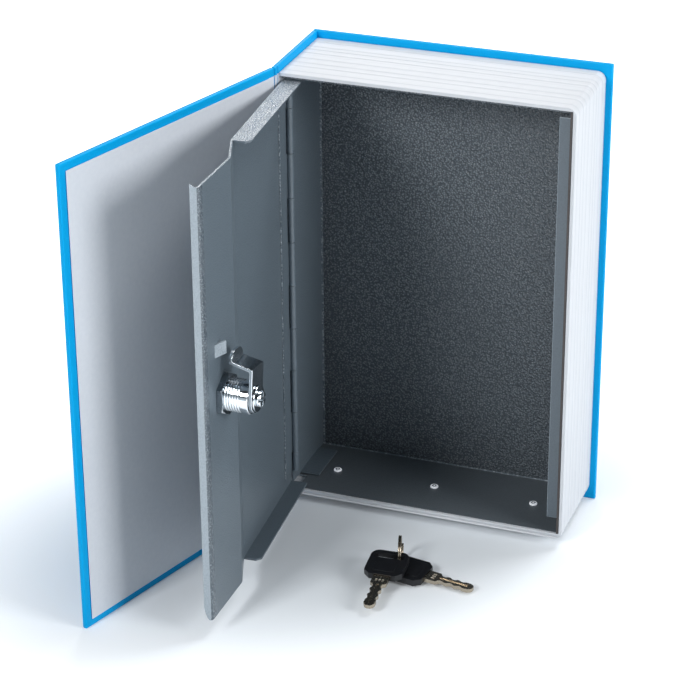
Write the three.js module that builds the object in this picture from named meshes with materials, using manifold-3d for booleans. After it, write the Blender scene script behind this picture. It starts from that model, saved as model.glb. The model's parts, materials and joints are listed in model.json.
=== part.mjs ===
// A book safe: a steel cash box inside a moulded page block, between hardback covers.
// Millimetres, +Z up, +X from the spine to the fore-edge, +Y from the front cover to the back.
import * as THREE from "three";
import { mergeVertices } from "three/addons/utils/BufferGeometryUtils.js";
import Module from "manifold-3d";

const wasm = await Module();
wasm.setup();

// Covers
const coverHeight = 240;
const boardThickness = 2.6;
const boardChamfer = 0.4;
const coverOverhang = 3;
const endpaperThickness = 0.4;
const endpaperMargin = 4;
const coverGap = 0.4;
const coverOpenAngle = 107.1;

// Page block, a plastic shell that stands between the covers
const blockWidth = 148.4;
const blockDepth = 53;
const blockLift = 4.5;
const blockHeight = 232;
const blockCornerRadius = 4.5;
const shellWall = 1.8;
const shellBackRim = 12;
const shellBackThickness = 1.2;
const sillDepth = 1.4;
const ribRise = 0.25;
const ribShoulder = 1.7;
const ribSteps = 3;
const grooveShares = [0.094, 0.223, 0.321, 0.44, 0.581, 0.679, 0.755, 0.883];

// Sheet steel and the clearances between the pieces
const sheet = 1;
const fitGap = 0.3;
const paperGap = 0.15;
const overrun = 2;

// Side wall that carries the hinge, and its two welded tabs
const sideWallSetIn = 0.6;
const sideWallFront = 5.6;
const tabWidth = 10.4;
const tabFront = 15.7;
const tabLength = 28;
const hingeNotchWidth = 5;
const hingeNotchDepth = 9;

// Strike that the cam catches behind
const strikeFront = 7.2;
const strikeThickness = 0.8;
const strikeLipWidth = 7;
const strikeLegDepth = 14;
const strikeEndGap = 4.8;

// Rivets that pin the steel box to the shell
const rivetHeadRadius = 2.1;
const rivetHeadThickness = 0.7;
const rivetShankRadius = 1.2;
const rivetBite = 1;
const rivetHoleClearance = 0.3;
const rivetDimpleRadius = 0.8;
const rivetDimpleDepth = 0.4;
const rivetSetBack = 25;
const rivetShares = [0.128, 0.489, 0.85];

// Piano hinge
const hingeAxisX = 3.8;
const hingeAxisY = 3.3;
const knuckleRadius = 1.7;
const pinRadius = 0.8;
const pinClearance = 0.15;
const leafThickness = 0.7;
const leafWidth = 12;
const hingeLow = 16.6;
const hingeLength = 208.8;
const firstKnuckle = 10.8;
const knuckleLength = 23.8;
const knuckleGap = 0.3;

// Door, a folded sheet with a recessed strip for the lock
const doorOpenAngle = 85.8;
const doorEndGap = 1.6;
const panelWidth = 81;
const rampWidth = 20.5;
const stripWidth = 36;
const stripRecess = 5.7;
const stripLean = 2.7;
const flangeDepth = 9.5;
const flangeChamfer = 2.5;
const flangeStart = 0.5;
const rampBend = 3;
const lipRun = 1.2;
const lipDepth = 3.1;
const lipBend = 1.2;
const lipCornerHeight = 14;
const bendSteps = 4;

// Lanced tongue above the lock
const tongueLength = 7.4;
const tongueHeight = 6.4;
const tongueAngle = 23;
const tongueFromLock = 9.4;
const tongueRise = 22.2;

// Cam lock
const lockFromHinge = 116.6;
const barrelRadius = 8;
const barrelLength = 14.6;
const barrelClearance = 0.3;
const lockHeadRadius = 9.6;
const lockHeadThickness = 4;
const threadPitch = 1.3;
const threadDepth = 0.5;
const threadCount = 7;
const nutAcrossFlats = 19;
const nutThickness = 4;
const plugRadius = 5.3;
const plugClearance = 0.15;
const keywayWidth = 2.4;
const keywayHeight = 8.2;
const keywayDepth = 12;
const waferCount = 5;
const waferThickness = 0.9;
const waferPitch = 1.9;
const waferWidth = 6;
const waferHeight = 7.8;
const waferWindowWidth = 3;
const waferWindowHeight = 5.2;
const waferClearance = 0.2;
const squareStub = 6.6;

// Cam, its washer and its screw
const camRestAngle = -8;
const camThickness = 1.5;
const camWidth = 14;
const camReach = 22.8;
const camCrankStart = 14.2;
const camCrankEnd = 16.8;
const camCrankDepth = 10.4;
const camTipWidth = 9;
const camHoleClearance = 0.2;
const camWasherRadius = 6.4;
const camWasherThickness = 0.7;
const screwHeadRadius = 3.9;
const screwHeadThickness = 1.8;
const screwShankRadius = 1.7;
const screwShankLength = 6;
const screwSlotWidth = 1.2;
const screwSlotDepth = 0.9;

// Keys and their ring, lying on the surface in front
const bowWidth = 19.5;
const bowLength = 20.4;
const bowThickness = 3.4;
const bowCornerRadius = 4.6;
const bowSlotLength = 15.2;
const bowSlotWidth = 4.6;
const bowSlotInset = 1.7;
const bladeLength = 25;
const bladeShoulder = 8.2;
const bladeWidth = 5.8;
const bladeThickness = 2;
const bladeShoulderLength = 7;
const bladeTang = 5;
const bladeCutDepthShares = [0.3, 0.14, 0.34, 0.2];
const bladeGrooveDepth = 0.5;
const bladeGrooveWidth = 1.4;
const ringRadius = 7.4;
const ringWire = 0.7;
const ringCoils = 1.3;
const ringTurn = 15.5;
const ringX = 77.2;
const ringY = -42.9;
const upperKeyX = 79.2;
const upperKeyY = -51;
const upperKeyLift = 6.7;
const upperSlotShift = 4.4;
const upperHeading = -86;
const upperSlope = 4.6;
const lowerKeyX = 78.5;
const lowerKeyY = -47.4;
const lowerKeyLift = 1.8;
const lowerSlotShift = 3.2;
const lowerHeading = -7.3;
const lowerSlope = 2;

// Segment counts
const roundSides = 32;
const fineSides = 16;

// Places worked out from the sizes above
const blockTop = blockLift + blockHeight;
const backInner = blockDepth + fitGap;
const jointRadius = boardThickness / 2;
const spineX = -fitGap - jointRadius;
const jointY = -coverGap - endpaperThickness - paperGap - jointRadius;
const coverWidth = blockWidth + coverOverhang - spineX;
const trayLow = blockLift + shellWall + fitGap;
const trayHigh = blockTop - shellWall - fitGap;
const trayRight = blockWidth - shellWall - fitGap;
const trayBack = blockDepth - shellBackThickness - fitGap;
const trayFront = sillDepth + fitGap;
const floorTop = trayLow + sheet;
const ceiling = trayHigh - sheet;
const trayInnerRight = trayRight - sheet;
const trayInnerBack = trayBack - sheet;
const sideWallInner = sideWallSetIn + sheet;
const doorLow = floorTop + doorEndGap;
const doorHigh = ceiling - doorEndGap;
const lockHeight = (blockLift + blockTop) / 2;
const stripSlope = Math.atan2(stripLean, stripWidth);
const knuckleBore = pinRadius + pinClearance;
const leafInset = knuckleRadius + 2 * knuckleGap;

// Finishes, as the photographed object shows them
const finishes = {
  coverPaper: { color: 0x0099e6, roughness: 0.55, metalness: 0 },
  paper: { color: 0xe6eaee, roughness: 0.85, metalness: 0 },
  pagePlastic: { color: 0xeceef2, roughness: 0.5, metalness: 0 },
  greyPaint: { color: 0x4c5861, roughness: 0.45, metalness: 0.2 },
  whitePin: { color: 0xd8dcdf, roughness: 0.4, metalness: 0.1 },
  chrome: { color: 0xd9dcdf, roughness: 0.12, metalness: 1 },
  brass: { color: 0xb9a05c, roughness: 0.3, metalness: 1 },
  nickel: { color: 0xb8b4a8, roughness: 0.25, metalness: 1 },
  blackPlastic: { color: 0x17181b, roughness: 0.4, metalness: 0 },
};

// A closed geometry as a solid, with only its positions and its shared corners merged.
function solidOf(geometry) {
  const bare = new THREE.BufferGeometry();
  bare.setAttribute("position", geometry.getAttribute("position"));
  if (geometry.index) {
    bare.setIndex(geometry.index);
  }
  const merged = mergeVertices(bare, 1e-4);
  return new wasm.Manifold(
    new wasm.Mesh({
      numProp: 3,
      vertProperties: new Float32Array(merged.getAttribute("position").array),
      triVerts: new Uint32Array(merged.index.array),
    }),
  );
}

// A solid as a named mesh with its finish.
function piece(name, solid, finish) {
  const made = solid.getMesh();
  const geometry = new THREE.BufferGeometry();
  geometry.setAttribute("position", new THREE.BufferAttribute(new Float32Array(made.vertProperties), 3));
  geometry.setIndex(new THREE.BufferAttribute(new Uint32Array(made.triVerts), 1));
  geometry.computeVertexNormals();
  const mesh = new THREE.Mesh(geometry, new THREE.MeshStandardMaterial(finish));
  mesh.name = name;
  return mesh;
}

// A box between two corners.
function block(x0, x1, y0, y1, z0, z1) {
  const geometry = new THREE.BoxGeometry(x1 - x0, y1 - y0, z1 - z0);
  geometry.translate((x0 + x1) / 2, (y0 + y1) / 2, (z0 + z1) / 2);
  return solidOf(geometry);
}

// An outline in the plan, raised from low to high.
function raised(shape, low, high, steps = bendSteps) {
  const geometry = new THREE.ExtrudeGeometry(shape, {
    depth: high - low,
    bevelEnabled: false,
    curveSegments: steps,
  });
  geometry.translate(0, 0, low);
  return solidOf(geometry);
}

// An outline in the front view, given as x and z, carried from the front to the back.
function carriedBack(shape, front, back, steps = bendSteps) {
  const geometry = new THREE.ExtrudeGeometry(shape, {
    depth: back - front,
    bevelEnabled: false,
    curveSegments: steps,
  });
  geometry.rotateX(Math.PI / 2);
  geometry.translate(0, back, 0);
  return solidOf(geometry);
}

// An outline in the side view, given as y and z, carried along x.
function carriedAlong(shape, left, right, steps = bendSteps) {
  const geometry = new THREE.ExtrudeGeometry(shape, {
    depth: right - left,
    bevelEnabled: false,
    curveSegments: steps,
  });
  geometry.rotateX(Math.PI / 2);
  geometry.rotateZ(Math.PI / 2);
  geometry.translate(left, 0, 0);
  return solidOf(geometry);
}

// A round solid about the upright axis, from radius and height pairs.
function turnedUpright(profile, sides = roundSides) {
  const geometry = new THREE.LatheGeometry(
    profile.map(([radius, height]) => new THREE.Vector2(radius, height)),
    sides,
  );
  geometry.rotateX(Math.PI / 2);
  return solidOf(geometry);
}

// A round solid about the lock's axis, which runs along y.
function turned(profile, sides = roundSides) {
  return solidOf(
    new THREE.LatheGeometry(
      profile.map(([radius, depth]) => new THREE.Vector2(radius, depth)),
      sides,
    ),
  );
}

// The profile of a plain cylinder.
function rod(radius, low, high) {
  return [
    [0, low],
    [radius, low],
    [radius, high],
    [0, high],
  ];
}

// A path with its inner corners turned into arcs, each of its own radius.
function bentPath(corners, radii) {
  const path = [corners[0]];
  corners.slice(1, -1).forEach((corner, i) => {
    const back = corners[i].clone().sub(corner).normalize();
    const ahead = corners[i + 2].clone().sub(corner).normalize();
    const half = Math.acos(back.dot(ahead)) / 2;
    const radius = radii[i];
    const reach = radius / Math.tan(half);
    const inward = back.clone().add(ahead).normalize();
    const centre = corner.clone().addScaledVector(inward, radius / Math.sin(half));
    const start = corner.clone().addScaledVector(back, reach).sub(centre);
    const end = corner.clone().addScaledVector(ahead, reach).sub(centre);
    const turn = Math.atan2(start.x * end.y - start.y * end.x, start.dot(end));
    for (let step = 0; step <= bendSteps; step += 1) {
      path.push(start.clone().rotateAround(new THREE.Vector2(), (turn * step) / bendSteps).add(centre));
    }
  });
  path.push(corners[corners.length - 1]);
  return path;
}

// The outline of a sheet that lies along the left side of a path.
function sheetOutline(path, thickness) {
  const sides = path.slice(1).map((point, i) => {
    const along = point.clone().sub(path[i]).normalize();
    return new THREE.Vector2(-along.y, along.x);
  });
  const other = path.map((point, i) => {
    const before = sides[Math.max(i - 1, 0)];
    const after = sides[Math.min(i, sides.length - 1)];
    const mitre = before.clone().add(after);
    mitre.multiplyScalar(thickness / (1 + before.dot(after)));
    return point.clone().add(mitre);
  });
  return new THREE.Shape([...path, ...other.reverse()]);
}

// A rectangle with its corners cut off.
function chamferedRectangle(x0, x1, y0, y1, cut) {
  return new THREE.Shape([
    new THREE.Vector2(x0 + cut, y0),
    new THREE.Vector2(x1 - cut, y0),
    new THREE.Vector2(x1, y0 + cut),
    new THREE.Vector2(x1, y1 - cut),
    new THREE.Vector2(x1 - cut, y1),
    new THREE.Vector2(x0 + cut, y1),
    new THREE.Vector2(x0, y1 - cut),
    new THREE.Vector2(x0, y0 + cut),
  ]);
}

// A rectangle with round corners.
function roundedRectangle(x0, x1, y0, y1, radius) {
  const shape = new THREE.Shape();
  shape.moveTo(x0 + radius, y0);
  shape.lineTo(x1 - radius, y0);
  shape.absarc(x1 - radius, y0 + radius, radius, -Math.PI / 2, 0);
  shape.lineTo(x1, y1 - radius);
  shape.absarc(x1 - radius, y1 - radius, radius, 0, Math.PI / 2);
  shape.lineTo(x0 + radius, y1);
  shape.absarc(x0 + radius, y1 - radius, radius, Math.PI / 2, Math.PI);
  shape.lineTo(x0, y0 + radius);
  shape.absarc(x0 + radius, y0 + radius, radius, Math.PI, 1.5 * Math.PI);
  return shape;
}

// A cover board standing on its lower edge.
function board(name, x0, x1, y0, y1) {
  const outline = chamferedRectangle(x0, x1, y0, y1, boardChamfer);
  return piece(name, raised(outline, 0, coverHeight), finishes.coverPaper);
}

// Fixed covers: the back board, the spine and the flexible joint at the front of the spine
function fixedCovers() {
  const back = board(
    "back_cover_board",
    spineX - jointRadius,
    blockWidth + coverOverhang,
    backInner,
    backInner + boardThickness,
  );
  const spineFront = jointY + jointRadius + fitGap;
  const spine = board(
    "spine_board",
    spineX - jointRadius,
    spineX + jointRadius,
    spineFront,
    backInner - fitGap,
  );
  const joint = piece(
    "cover_joint_strip",
    turnedUpright(rod(jointRadius, 0, coverHeight), fineSides),
    finishes.coverPaper,
  );
  joint.position.set(spineX, jointY, 0);
  return [back, spine, joint];
}

// Front cover, drawn closed about its joint and then swung open
function frontCover() {
  const cover = new THREE.Group();
  cover.add(board("front_cover_board", jointRadius + fitGap, coverWidth, -jointRadius, jointRadius));
  const paperFace = jointRadius + paperGap;
  const paper = block(
    endpaperMargin,
    coverWidth - endpaperMargin,
    paperFace,
    paperFace + endpaperThickness,
    endpaperMargin,
    coverHeight - endpaperMargin,
  );
  cover.add(piece("front_endpaper", paper, finishes.paper));
  cover.position.set(spineX, jointY, 0);
  cover.rotation.z = -THREE.MathUtils.degToRad(coverOpenAngle);
  return cover;
}

// The block's outline in the front view, square at the spine and round at the fore-edge
function blockOutline(inset, left) {
  const radius = blockCornerRadius - inset;
  const right = blockWidth - inset;
  const low = blockLift + inset;
  const high = blockTop - inset;
  const shape = new THREE.Shape();
  shape.moveTo(left, low);
  shape.lineTo(right - radius, low);
  shape.absarc(right - radius, low + radius, radius, -Math.PI / 2, 0);
  shape.lineTo(right, high - radius);
  shape.absarc(right - radius, high - radius, radius, 0, Math.PI / 2);
  shape.lineTo(left, high);
  return shape;
}

// One rib of the page faces, a shallow round swelling between two grooves
function pageRib(front, back) {
  const geometry = new THREE.ExtrudeGeometry(blockOutline(ribRise, -overrun), {
    depth: back - front - 2 * ribShoulder,
    bevelThickness: ribShoulder,
    bevelSize: ribRise,
    bevelSegments: ribSteps,
    curveSegments: bendSteps,
  });
  geometry.rotateX(Math.PI / 2);
  geometry.translate(0, back - ribShoulder, 0);
  return solidOf(geometry);
}

// The ribs of the page faces side by side, square at the spine
function pageRibs() {
  const edges = [0, ...grooveShares.map((share) => share * blockDepth), blockDepth];
  const ribs = edges.slice(1).map((back, i) => pageRib(edges[i], back));
  const whole = ribs.reduce((joined, rib) => joined.add(rib));
  return whole.subtract(block(-2 * overrun, 0, -overrun, blockDepth + overrun, 0, coverHeight));
}

// The moulded page block: three ribbed walls, a sill in front of the floor and a rim at the back
function pageBlockShell() {
  let shell = pageRibs();
  const innerRight = blockWidth - shellWall;
  const innerLow = blockLift + shellWall;
  const innerHigh = blockTop - shellWall;
  const rimFront = blockDepth - shellBackThickness;
  shell = shell.subtract(block(-overrun, innerRight, sillDepth, rimFront, innerLow, innerHigh));
  shell = shell.subtract(block(-overrun, innerRight, -overrun, sillDepth + overrun, floorTop, innerHigh));
  shell = shell.subtract(
    block(
      shellBackRim,
      blockWidth - shellBackRim,
      rimFront - overrun,
      blockDepth + overrun,
      blockLift + shellBackRim,
      blockTop - shellBackRim,
    ),
  );
  rivetPlaces().forEach((x) => {
    shell = shell.subtract(rivetHole(x, innerLow - rivetBite - fitGap, innerLow + overrun));
    shell = shell.subtract(rivetHole(x, innerHigh - overrun, innerHigh + rivetBite + fitGap));
  });
  return piece("page_block_shell", shell, finishes.pagePlastic);
}

// Rivets, in a row along the middle of the floor and of the ceiling
function rivetPlaces() {
  return rivetShares.map((share) => share * blockWidth);
}

function rivetHole(x, low, high) {
  const hole = turnedUpright(rod(rivetShankRadius + rivetHoleClearance, low, high), fineSides);
  return hole.translate([x, rivetSetBack, 0]);
}

function rivets() {
  const shankLength = fitGap + sheet + fitGap + rivetBite;
  const profile = [
    [0, -shankLength],
    [rivetShankRadius, -shankLength],
    [rivetShankRadius, 0],
    [rivetHeadRadius, 0],
    [rivetHeadRadius, rivetHeadThickness / 2],
    [rivetHeadRadius - rivetHeadThickness / 2, rivetHeadThickness],
    [rivetDimpleRadius, rivetHeadThickness],
    [rivetDimpleRadius, rivetHeadThickness - rivetDimpleDepth],
    [0, rivetHeadThickness - rivetDimpleDepth],
  ];
  return rivetPlaces().flatMap((x, i) => {
    const lower = piece(`floor_rivet_${i + 1}`, turnedUpright(profile, fineSides), finishes.whitePin);
    lower.position.set(x, rivetSetBack, floorTop + fitGap);
    const upper = piece(`ceiling_rivet_${i + 1}`, turnedUpright(profile, fineSides), finishes.whitePin);
    upper.position.set(x, rivetSetBack, ceiling - fitGap);
    upper.rotation.x = Math.PI;
    return [lower, upper];
  });
}

// Steel box: back, floor, ceiling and fore-edge wall, with a notch for the hinge in the floor
function steelTray() {
  let tray = block(sideWallSetIn, trayRight, trayFront, trayBack, trayLow, trayHigh);
  tray = tray.add(block(trayInnerRight, trayRight, 0, trayBack, floorTop, trayHigh));
  tray = tray.subtract(
    block(sideWallSetIn - overrun, trayInnerRight, -overrun, trayInnerBack, floorTop, ceiling),
  );
  tray = tray.subtract(
    block(
      sideWallSetIn - overrun,
      sideWallSetIn + hingeNotchWidth,
      sideWallFront - overrun - trayFront,
      sideWallFront + hingeNotchDepth,
      trayLow - overrun,
      floorTop + overrun,
    ),
  );
  rivetPlaces().forEach((x) => {
    tray = tray.subtract(rivetHole(x, trayLow - overrun, floorTop + overrun));
    tray = tray.subtract(rivetHole(x, ceiling - overrun, trayHigh + overrun));
  });
  return piece("steel_box", tray, finishes.greyPaint);
}

// Side wall next to the spine, folded over the floor and under the ceiling
function hingeSideWall() {
  const low = floorTop + fitGap;
  const high = ceiling - fitGap;
  const back = trayInnerBack - fitGap;
  let wall = block(sideWallSetIn, sideWallInner, sideWallFront, back, low, high);
  const tabRight = sideWallInner + tabWidth;
  const tabBack = tabFront + tabLength;
  wall = wall.add(block(sideWallSetIn, tabRight, tabFront, tabBack, low, low + sheet));
  wall = wall.add(block(sideWallSetIn, tabRight, tabFront, tabBack, high - sheet, high));
  return piece("hinge_side_wall", wall, finishes.greyPaint);
}

// Strike: an angle on the fore-edge wall whose lip stands in front of the cam
function strikeAngle() {
  const outer = trayInnerRight - paperGap;
  const path = [
    new THREE.Vector2(outer - strikeLipWidth, strikeFront),
    new THREE.Vector2(outer, strikeFront),
    new THREE.Vector2(outer, strikeFront + strikeLegDepth),
  ];
  const outline = sheetOutline(path, strikeThickness);
  const low = floorTop + strikeEndGap;
  const high = ceiling - strikeEndGap;
  return piece("strike_angle", raised(outline, low, high), finishes.greyPaint);
}

// The knuckle divisions of the piano hinge, cut from longer stock at both ends
function knuckleSpans() {
  const spans = [];
  let low = 0;
  let high = firstKnuckle;
  while (low < hingeLength) {
    spans.push([hingeLow + low, hingeLow + Math.min(high, hingeLength)]);
    low = high;
    high += knuckleLength;
  }
  return spans;
}

// One leaf: its plate lies beside the barrel, and every second knuckle is rolled from it
function hingeLeaf(plate, bridge, firstOwned) {
  let leaf = plate;
  const bores = [];
  knuckleSpans().forEach(([low, high], i) => {
    if (i % 2 === firstOwned) {
      const from = low + knuckleGap / 2;
      const to = high - knuckleGap / 2;
      leaf = leaf.add(turnedUpright(rod(knuckleRadius, from, to), fineSides));
      leaf = leaf.add(bridge(from, to));
      bores.push(turnedUpright(rod(knuckleBore, from - overrun, to + overrun), fineSides));
    }
  });
  bores.forEach((bore) => {
    leaf = leaf.subtract(bore);
  });
  return leaf;
}

// Leaf on the side wall and the pin, both placed at the hinge axis
function fixedHinge() {
  const left = sideWallInner + fitGap - hingeAxisX;
  const right = left + leafThickness;
  const high = hingeLow + hingeLength;
  const plate = block(left, right, leafInset, leafWidth, hingeLow, high);
  const bridge = (from, to) => block(left, right, 0, leafInset + overrun, from, to);
  const leaf = piece("frame_hinge_leaf", hingeLeaf(plate, bridge, 0), finishes.greyPaint);
  const pin = piece("hinge_pin", turnedUpright(rod(pinRadius, hingeLow, high), fineSides), finishes.nickel);
  [leaf, pin].forEach((mesh) => mesh.position.set(hingeAxisX, hingeAxisY, 0));
  return [leaf, pin];
}

// Where the strip ends, and its recess behind the panel's outer face at a distance along it
const stripEnd = panelWidth + rampWidth + stripWidth;

function stripFace(alongStrip) {
  return stripRecess - (stripLean * alongStrip) / stripWidth;
}

// Door outline in the plan: panel, ramp, recessed strip and the pull lip at its free edge
function doorOutline() {
  const face = -hingeAxisY;
  const endFace = face + stripFace(stripWidth);
  const corners = [
    new THREE.Vector2(flangeStart, face),
    new THREE.Vector2(panelWidth, face),
    new THREE.Vector2(panelWidth + rampWidth, face + stripFace(0)),
    new THREE.Vector2(stripEnd, endFace),
    new THREE.Vector2(stripEnd + lipRun, endFace - lipDepth),
  ];
  return sheetOutline(bentPath(corners, [rampBend, rampBend, lipBend]), sheet);
}

// A flange folded inward from the panel's upper or lower edge
function doorFlange(low) {
  const face = -hingeAxisY;
  const edge = face + flangeDepth;
  const outline = new THREE.Shape([
    new THREE.Vector2(flangeStart, face),
    new THREE.Vector2(panelWidth, face),
    new THREE.Vector2(panelWidth, edge - flangeChamfer),
    new THREE.Vector2(panelWidth - flangeChamfer, edge),
    new THREE.Vector2(flangeStart, edge),
  ]);
  return raised(outline, low, low + sheet);
}

// What is cut from the pull lip's lower corner: all that lies below a tall quarter ellipse
function lipCornerCut() {
  const inner = -hingeAxisY + stripFace(stripWidth);
  const outer = inner - lipDepth;
  const top = doorLow + lipCornerHeight;
  const shape = new THREE.Shape();
  shape.moveTo(inner, doorLow - overrun);
  shape.lineTo(inner, doorLow);
  shape.absellipse(inner, top, lipDepth, lipCornerHeight, -Math.PI / 2, -Math.PI, true);
  shape.lineTo(outer - overrun, top);
  shape.lineTo(outer - overrun, doorLow - overrun);
  return carriedAlong(shape, stripEnd - lipBend, stripEnd + lipRun + overrun, 2 * bendSteps);
}

// The lanced tongue and its window, in the lock's frame, whose y = 0 is the strip's inner face
function tongueWindow() {
  return block(
    tongueFromLock - tongueLength,
    tongueFromLock,
    -sheet - overrun,
    overrun,
    tongueRise,
    tongueRise + tongueHeight,
  );
}

function tongue() {
  const flap = block(-tongueLength, 0, -sheet, 0, tongueRise, tongueRise + tongueHeight);
  return flap.rotate([0, 0, -tongueAngle]).translate([tongueFromLock, 0, 0]);
}

// The door sheet, drawn closed about the hinge axis
function doorPanel() {
  let door = raised(doorOutline(), doorLow, doorHigh);
  door = door.add(doorFlange(doorLow)).add(doorFlange(doorHigh - sheet));
  door = door.subtract(lipCornerCut());
  const hole = rod(barrelRadius + barrelClearance, -sheet - overrun, overrun);
  door = door.subtract(atLock(turned(hole)));
  door = door.subtract(atLock(tongueWindow())).add(atLock(tongue()));
  return piece("door_panel", door, finishes.greyPaint);
}

// Where the lock sits in the door: on the strip's inner face, square to the strip
const lockAlong = lockFromHinge - panelWidth - rampWidth;
const lockPlace = [lockFromHinge, -hingeAxisY + stripFace(lockAlong) + sheet, lockHeight];

function atLock(solid) {
  return solid.rotate([0, 0, -THREE.MathUtils.radToDeg(stripSlope)]).translate(lockPlace);
}

// Leaf on the door's inner face, with the knuckles that the other leaf leaves free
function doorHingeLeaf() {
  const outer = -hingeAxisY + sheet + paperGap;
  const inner = outer + leafThickness;
  const high = hingeLow + hingeLength;
  const plate = block(leafInset, leafWidth, outer, inner, hingeLow, high);
  const bridge = (from, to) => block(0, leafInset + overrun, outer, inner, from, to);
  return piece("door_hinge_leaf", hingeLeaf(plate, bridge, 1), finishes.greyPaint);
}

// Lock housing: a round head outside, a threaded barrel inside, bored for the plug
function lockHousing() {
  const headBack = -sheet - paperGap;
  const headFront = headBack - lockHeadThickness;
  const headChamfer = lockHeadThickness / 5;
  const threadStart = nutThickness + 2 * paperGap;
  const bore = plugRadius + plugClearance;
  const profile = [
    [bore, headFront],
    [lockHeadRadius - headChamfer, headFront],
    [lockHeadRadius, headFront + headChamfer],
    [lockHeadRadius, headBack],
    [barrelRadius, headBack],
    [barrelRadius, threadStart],
  ];
  for (let i = 0; i < threadCount; i += 1) {
    const start = threadStart + i * threadPitch;
    profile.push([barrelRadius - threadDepth, start + threadPitch / 2]);
    profile.push([barrelRadius, start + threadPitch]);
  }
  profile.push([barrelRadius, barrelLength], [bore, barrelLength], [bore, headFront]);
  return piece("lock_housing", turned(profile), finishes.chrome);
}

// Hexagon nut that clamps the housing to the strip, with its outer corners turned off
function lockNut() {
  const corner = nutAcrossFlats / Math.sqrt(3);
  const hexagon = new THREE.CylinderGeometry(corner, corner, nutThickness, 6);
  hexagon.translate(0, paperGap + nutThickness / 2, 0);
  const flat = nutAcrossFlats / 2;
  const chamfer = corner - flat;
  const turnedOff = turned([
    [0, paperGap - overrun],
    [corner + overrun, paperGap - overrun],
    [corner + overrun, paperGap + nutThickness - chamfer],
    [flat, paperGap + nutThickness],
    [flat, paperGap + nutThickness + overrun],
    [0, paperGap + nutThickness + overrun],
  ]);
  const thread = turned(rod(barrelRadius + barrelClearance, -overrun, nutThickness + 2 * overrun));
  return piece("lock_nut", solidOf(hexagon).intersect(turnedOff).subtract(thread), finishes.chrome);
}

// Depths along the lock's axis
const plugFront = -sheet - paperGap - lockHeadThickness + paperGap;
const camOuter = barrelLength + fitGap;
const camInner = camOuter + camThickness;
const washerInner = camInner + fitGap + camWasherThickness;

// Where the wafers stand along the plug
function waferDepths() {
  const first = plugFront + 2 * waferPitch;
  return Array.from({ length: waferCount }, (_, i) => first + i * waferPitch);
}

// Plug: keyway in front, wafer slots across it and a square stub with a screw hole behind
function lockPlug() {
  let plug = turned(rod(plugRadius, plugFront, barrelLength));
  const half = squareStub / 2;
  const stubEnd = camInner - fitGap;
  plug = plug.add(block(-half, half, barrelLength - overrun, stubEnd, -half, half));
  const keyway = keywayWidth / 2;
  const keyHalf = keywayHeight / 2;
  plug = plug.subtract(
    block(-keyway, keyway, plugFront - overrun, plugFront + keywayDepth, -keyHalf, keyHalf),
  );
  const slotHalf = waferWidth / 2 + waferClearance;
  const thick = waferThickness / 2 + waferClearance;
  waferDepths().forEach((depth) => {
    const slot = block(-slotHalf, slotHalf, depth - thick, depth + thick, -barrelRadius, barrelRadius);
    plug = plug.subtract(slot);
  });
  const screwHole = screwShankRadius + screwHeadThickness / screwShankLength;
  const holeStart = washerInner - screwShankLength - fitGap;
  plug = plug.subtract(turned(rod(screwHole, holeStart, stubEnd + overrun), fineSides));
  return piece("lock_plug", plug, finishes.chrome);
}

// Wafers: thin brass frames, each at its own height in the plug
function lockWafers() {
  const spare = plugRadius - waferHeight / 2 - waferWidth / waferHeight;
  return waferDepths().map((depth, i) => {
    const lift = ((i % 3) - 1) * spare;
    const wide = waferWidth / 2;
    const tall = waferHeight / 2;
    const thick = waferThickness / 2;
    const frame = block(-wide, wide, depth - thick, depth + thick, lift - tall, lift + tall);
    const windowWide = waferWindowWidth / 2;
    const windowTall = waferWindowHeight / 2;
    const opening = block(
      -windowWide,
      windowWide,
      depth - waferThickness,
      depth + waferThickness,
      lift - windowTall,
      lift + windowTall,
    );
    return piece(`lock_wafer_${i + 1}`, frame.subtract(opening), finishes.brass);
  });
}

// Cam: a cranked plate whose tip lies close behind the strike
function lockCam() {
  const tipOuter = camOuter - camCrankDepth;
  const side = [
    new THREE.Vector2(camInner, -camWidth / 2),
    new THREE.Vector2(camInner, camCrankStart + camThickness),
    new THREE.Vector2(tipOuter + camThickness, camCrankEnd + camThickness),
    new THREE.Vector2(tipOuter + camThickness, camReach),
  ];
  const plate = carriedAlong(sheetOutline(side, camThickness), -camWidth / 2, camWidth / 2);
  const face = new THREE.Shape();
  const half = camWidth / 2;
  const tip = camTipWidth / 2;
  face.moveTo(-half, 0);
  face.absarc(0, 0, half, -Math.PI, 0);
  face.lineTo(half, camCrankEnd);
  face.lineTo(tip, camReach - tip / 2);
  face.quadraticCurveTo(tip, camReach, 0, camReach);
  face.quadraticCurveTo(-tip, camReach, -tip, camReach - tip / 2);
  face.lineTo(-half, camCrankEnd);
  const outline = carriedBack(face, tipOuter - overrun, camInner + overrun, 2 * bendSteps);
  const hole = squareStub / 2 + camHoleClearance;
  const stub = block(-hole, hole, camOuter - overrun, camInner + overrun, -hole, hole);
  return piece("lock_cam", plate.intersect(outline).subtract(stub), finishes.chrome);
}

function camWasher() {
  const bore = screwShankRadius + fitGap;
  const low = camInner + fitGap;
  const profile = [
    [bore, low],
    [camWasherRadius, low],
    [camWasherRadius, low + camWasherThickness],
    [bore, low + camWasherThickness],
    [bore, low],
  ];
  return piece("cam_washer", turned(profile), finishes.chrome);
}

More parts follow.
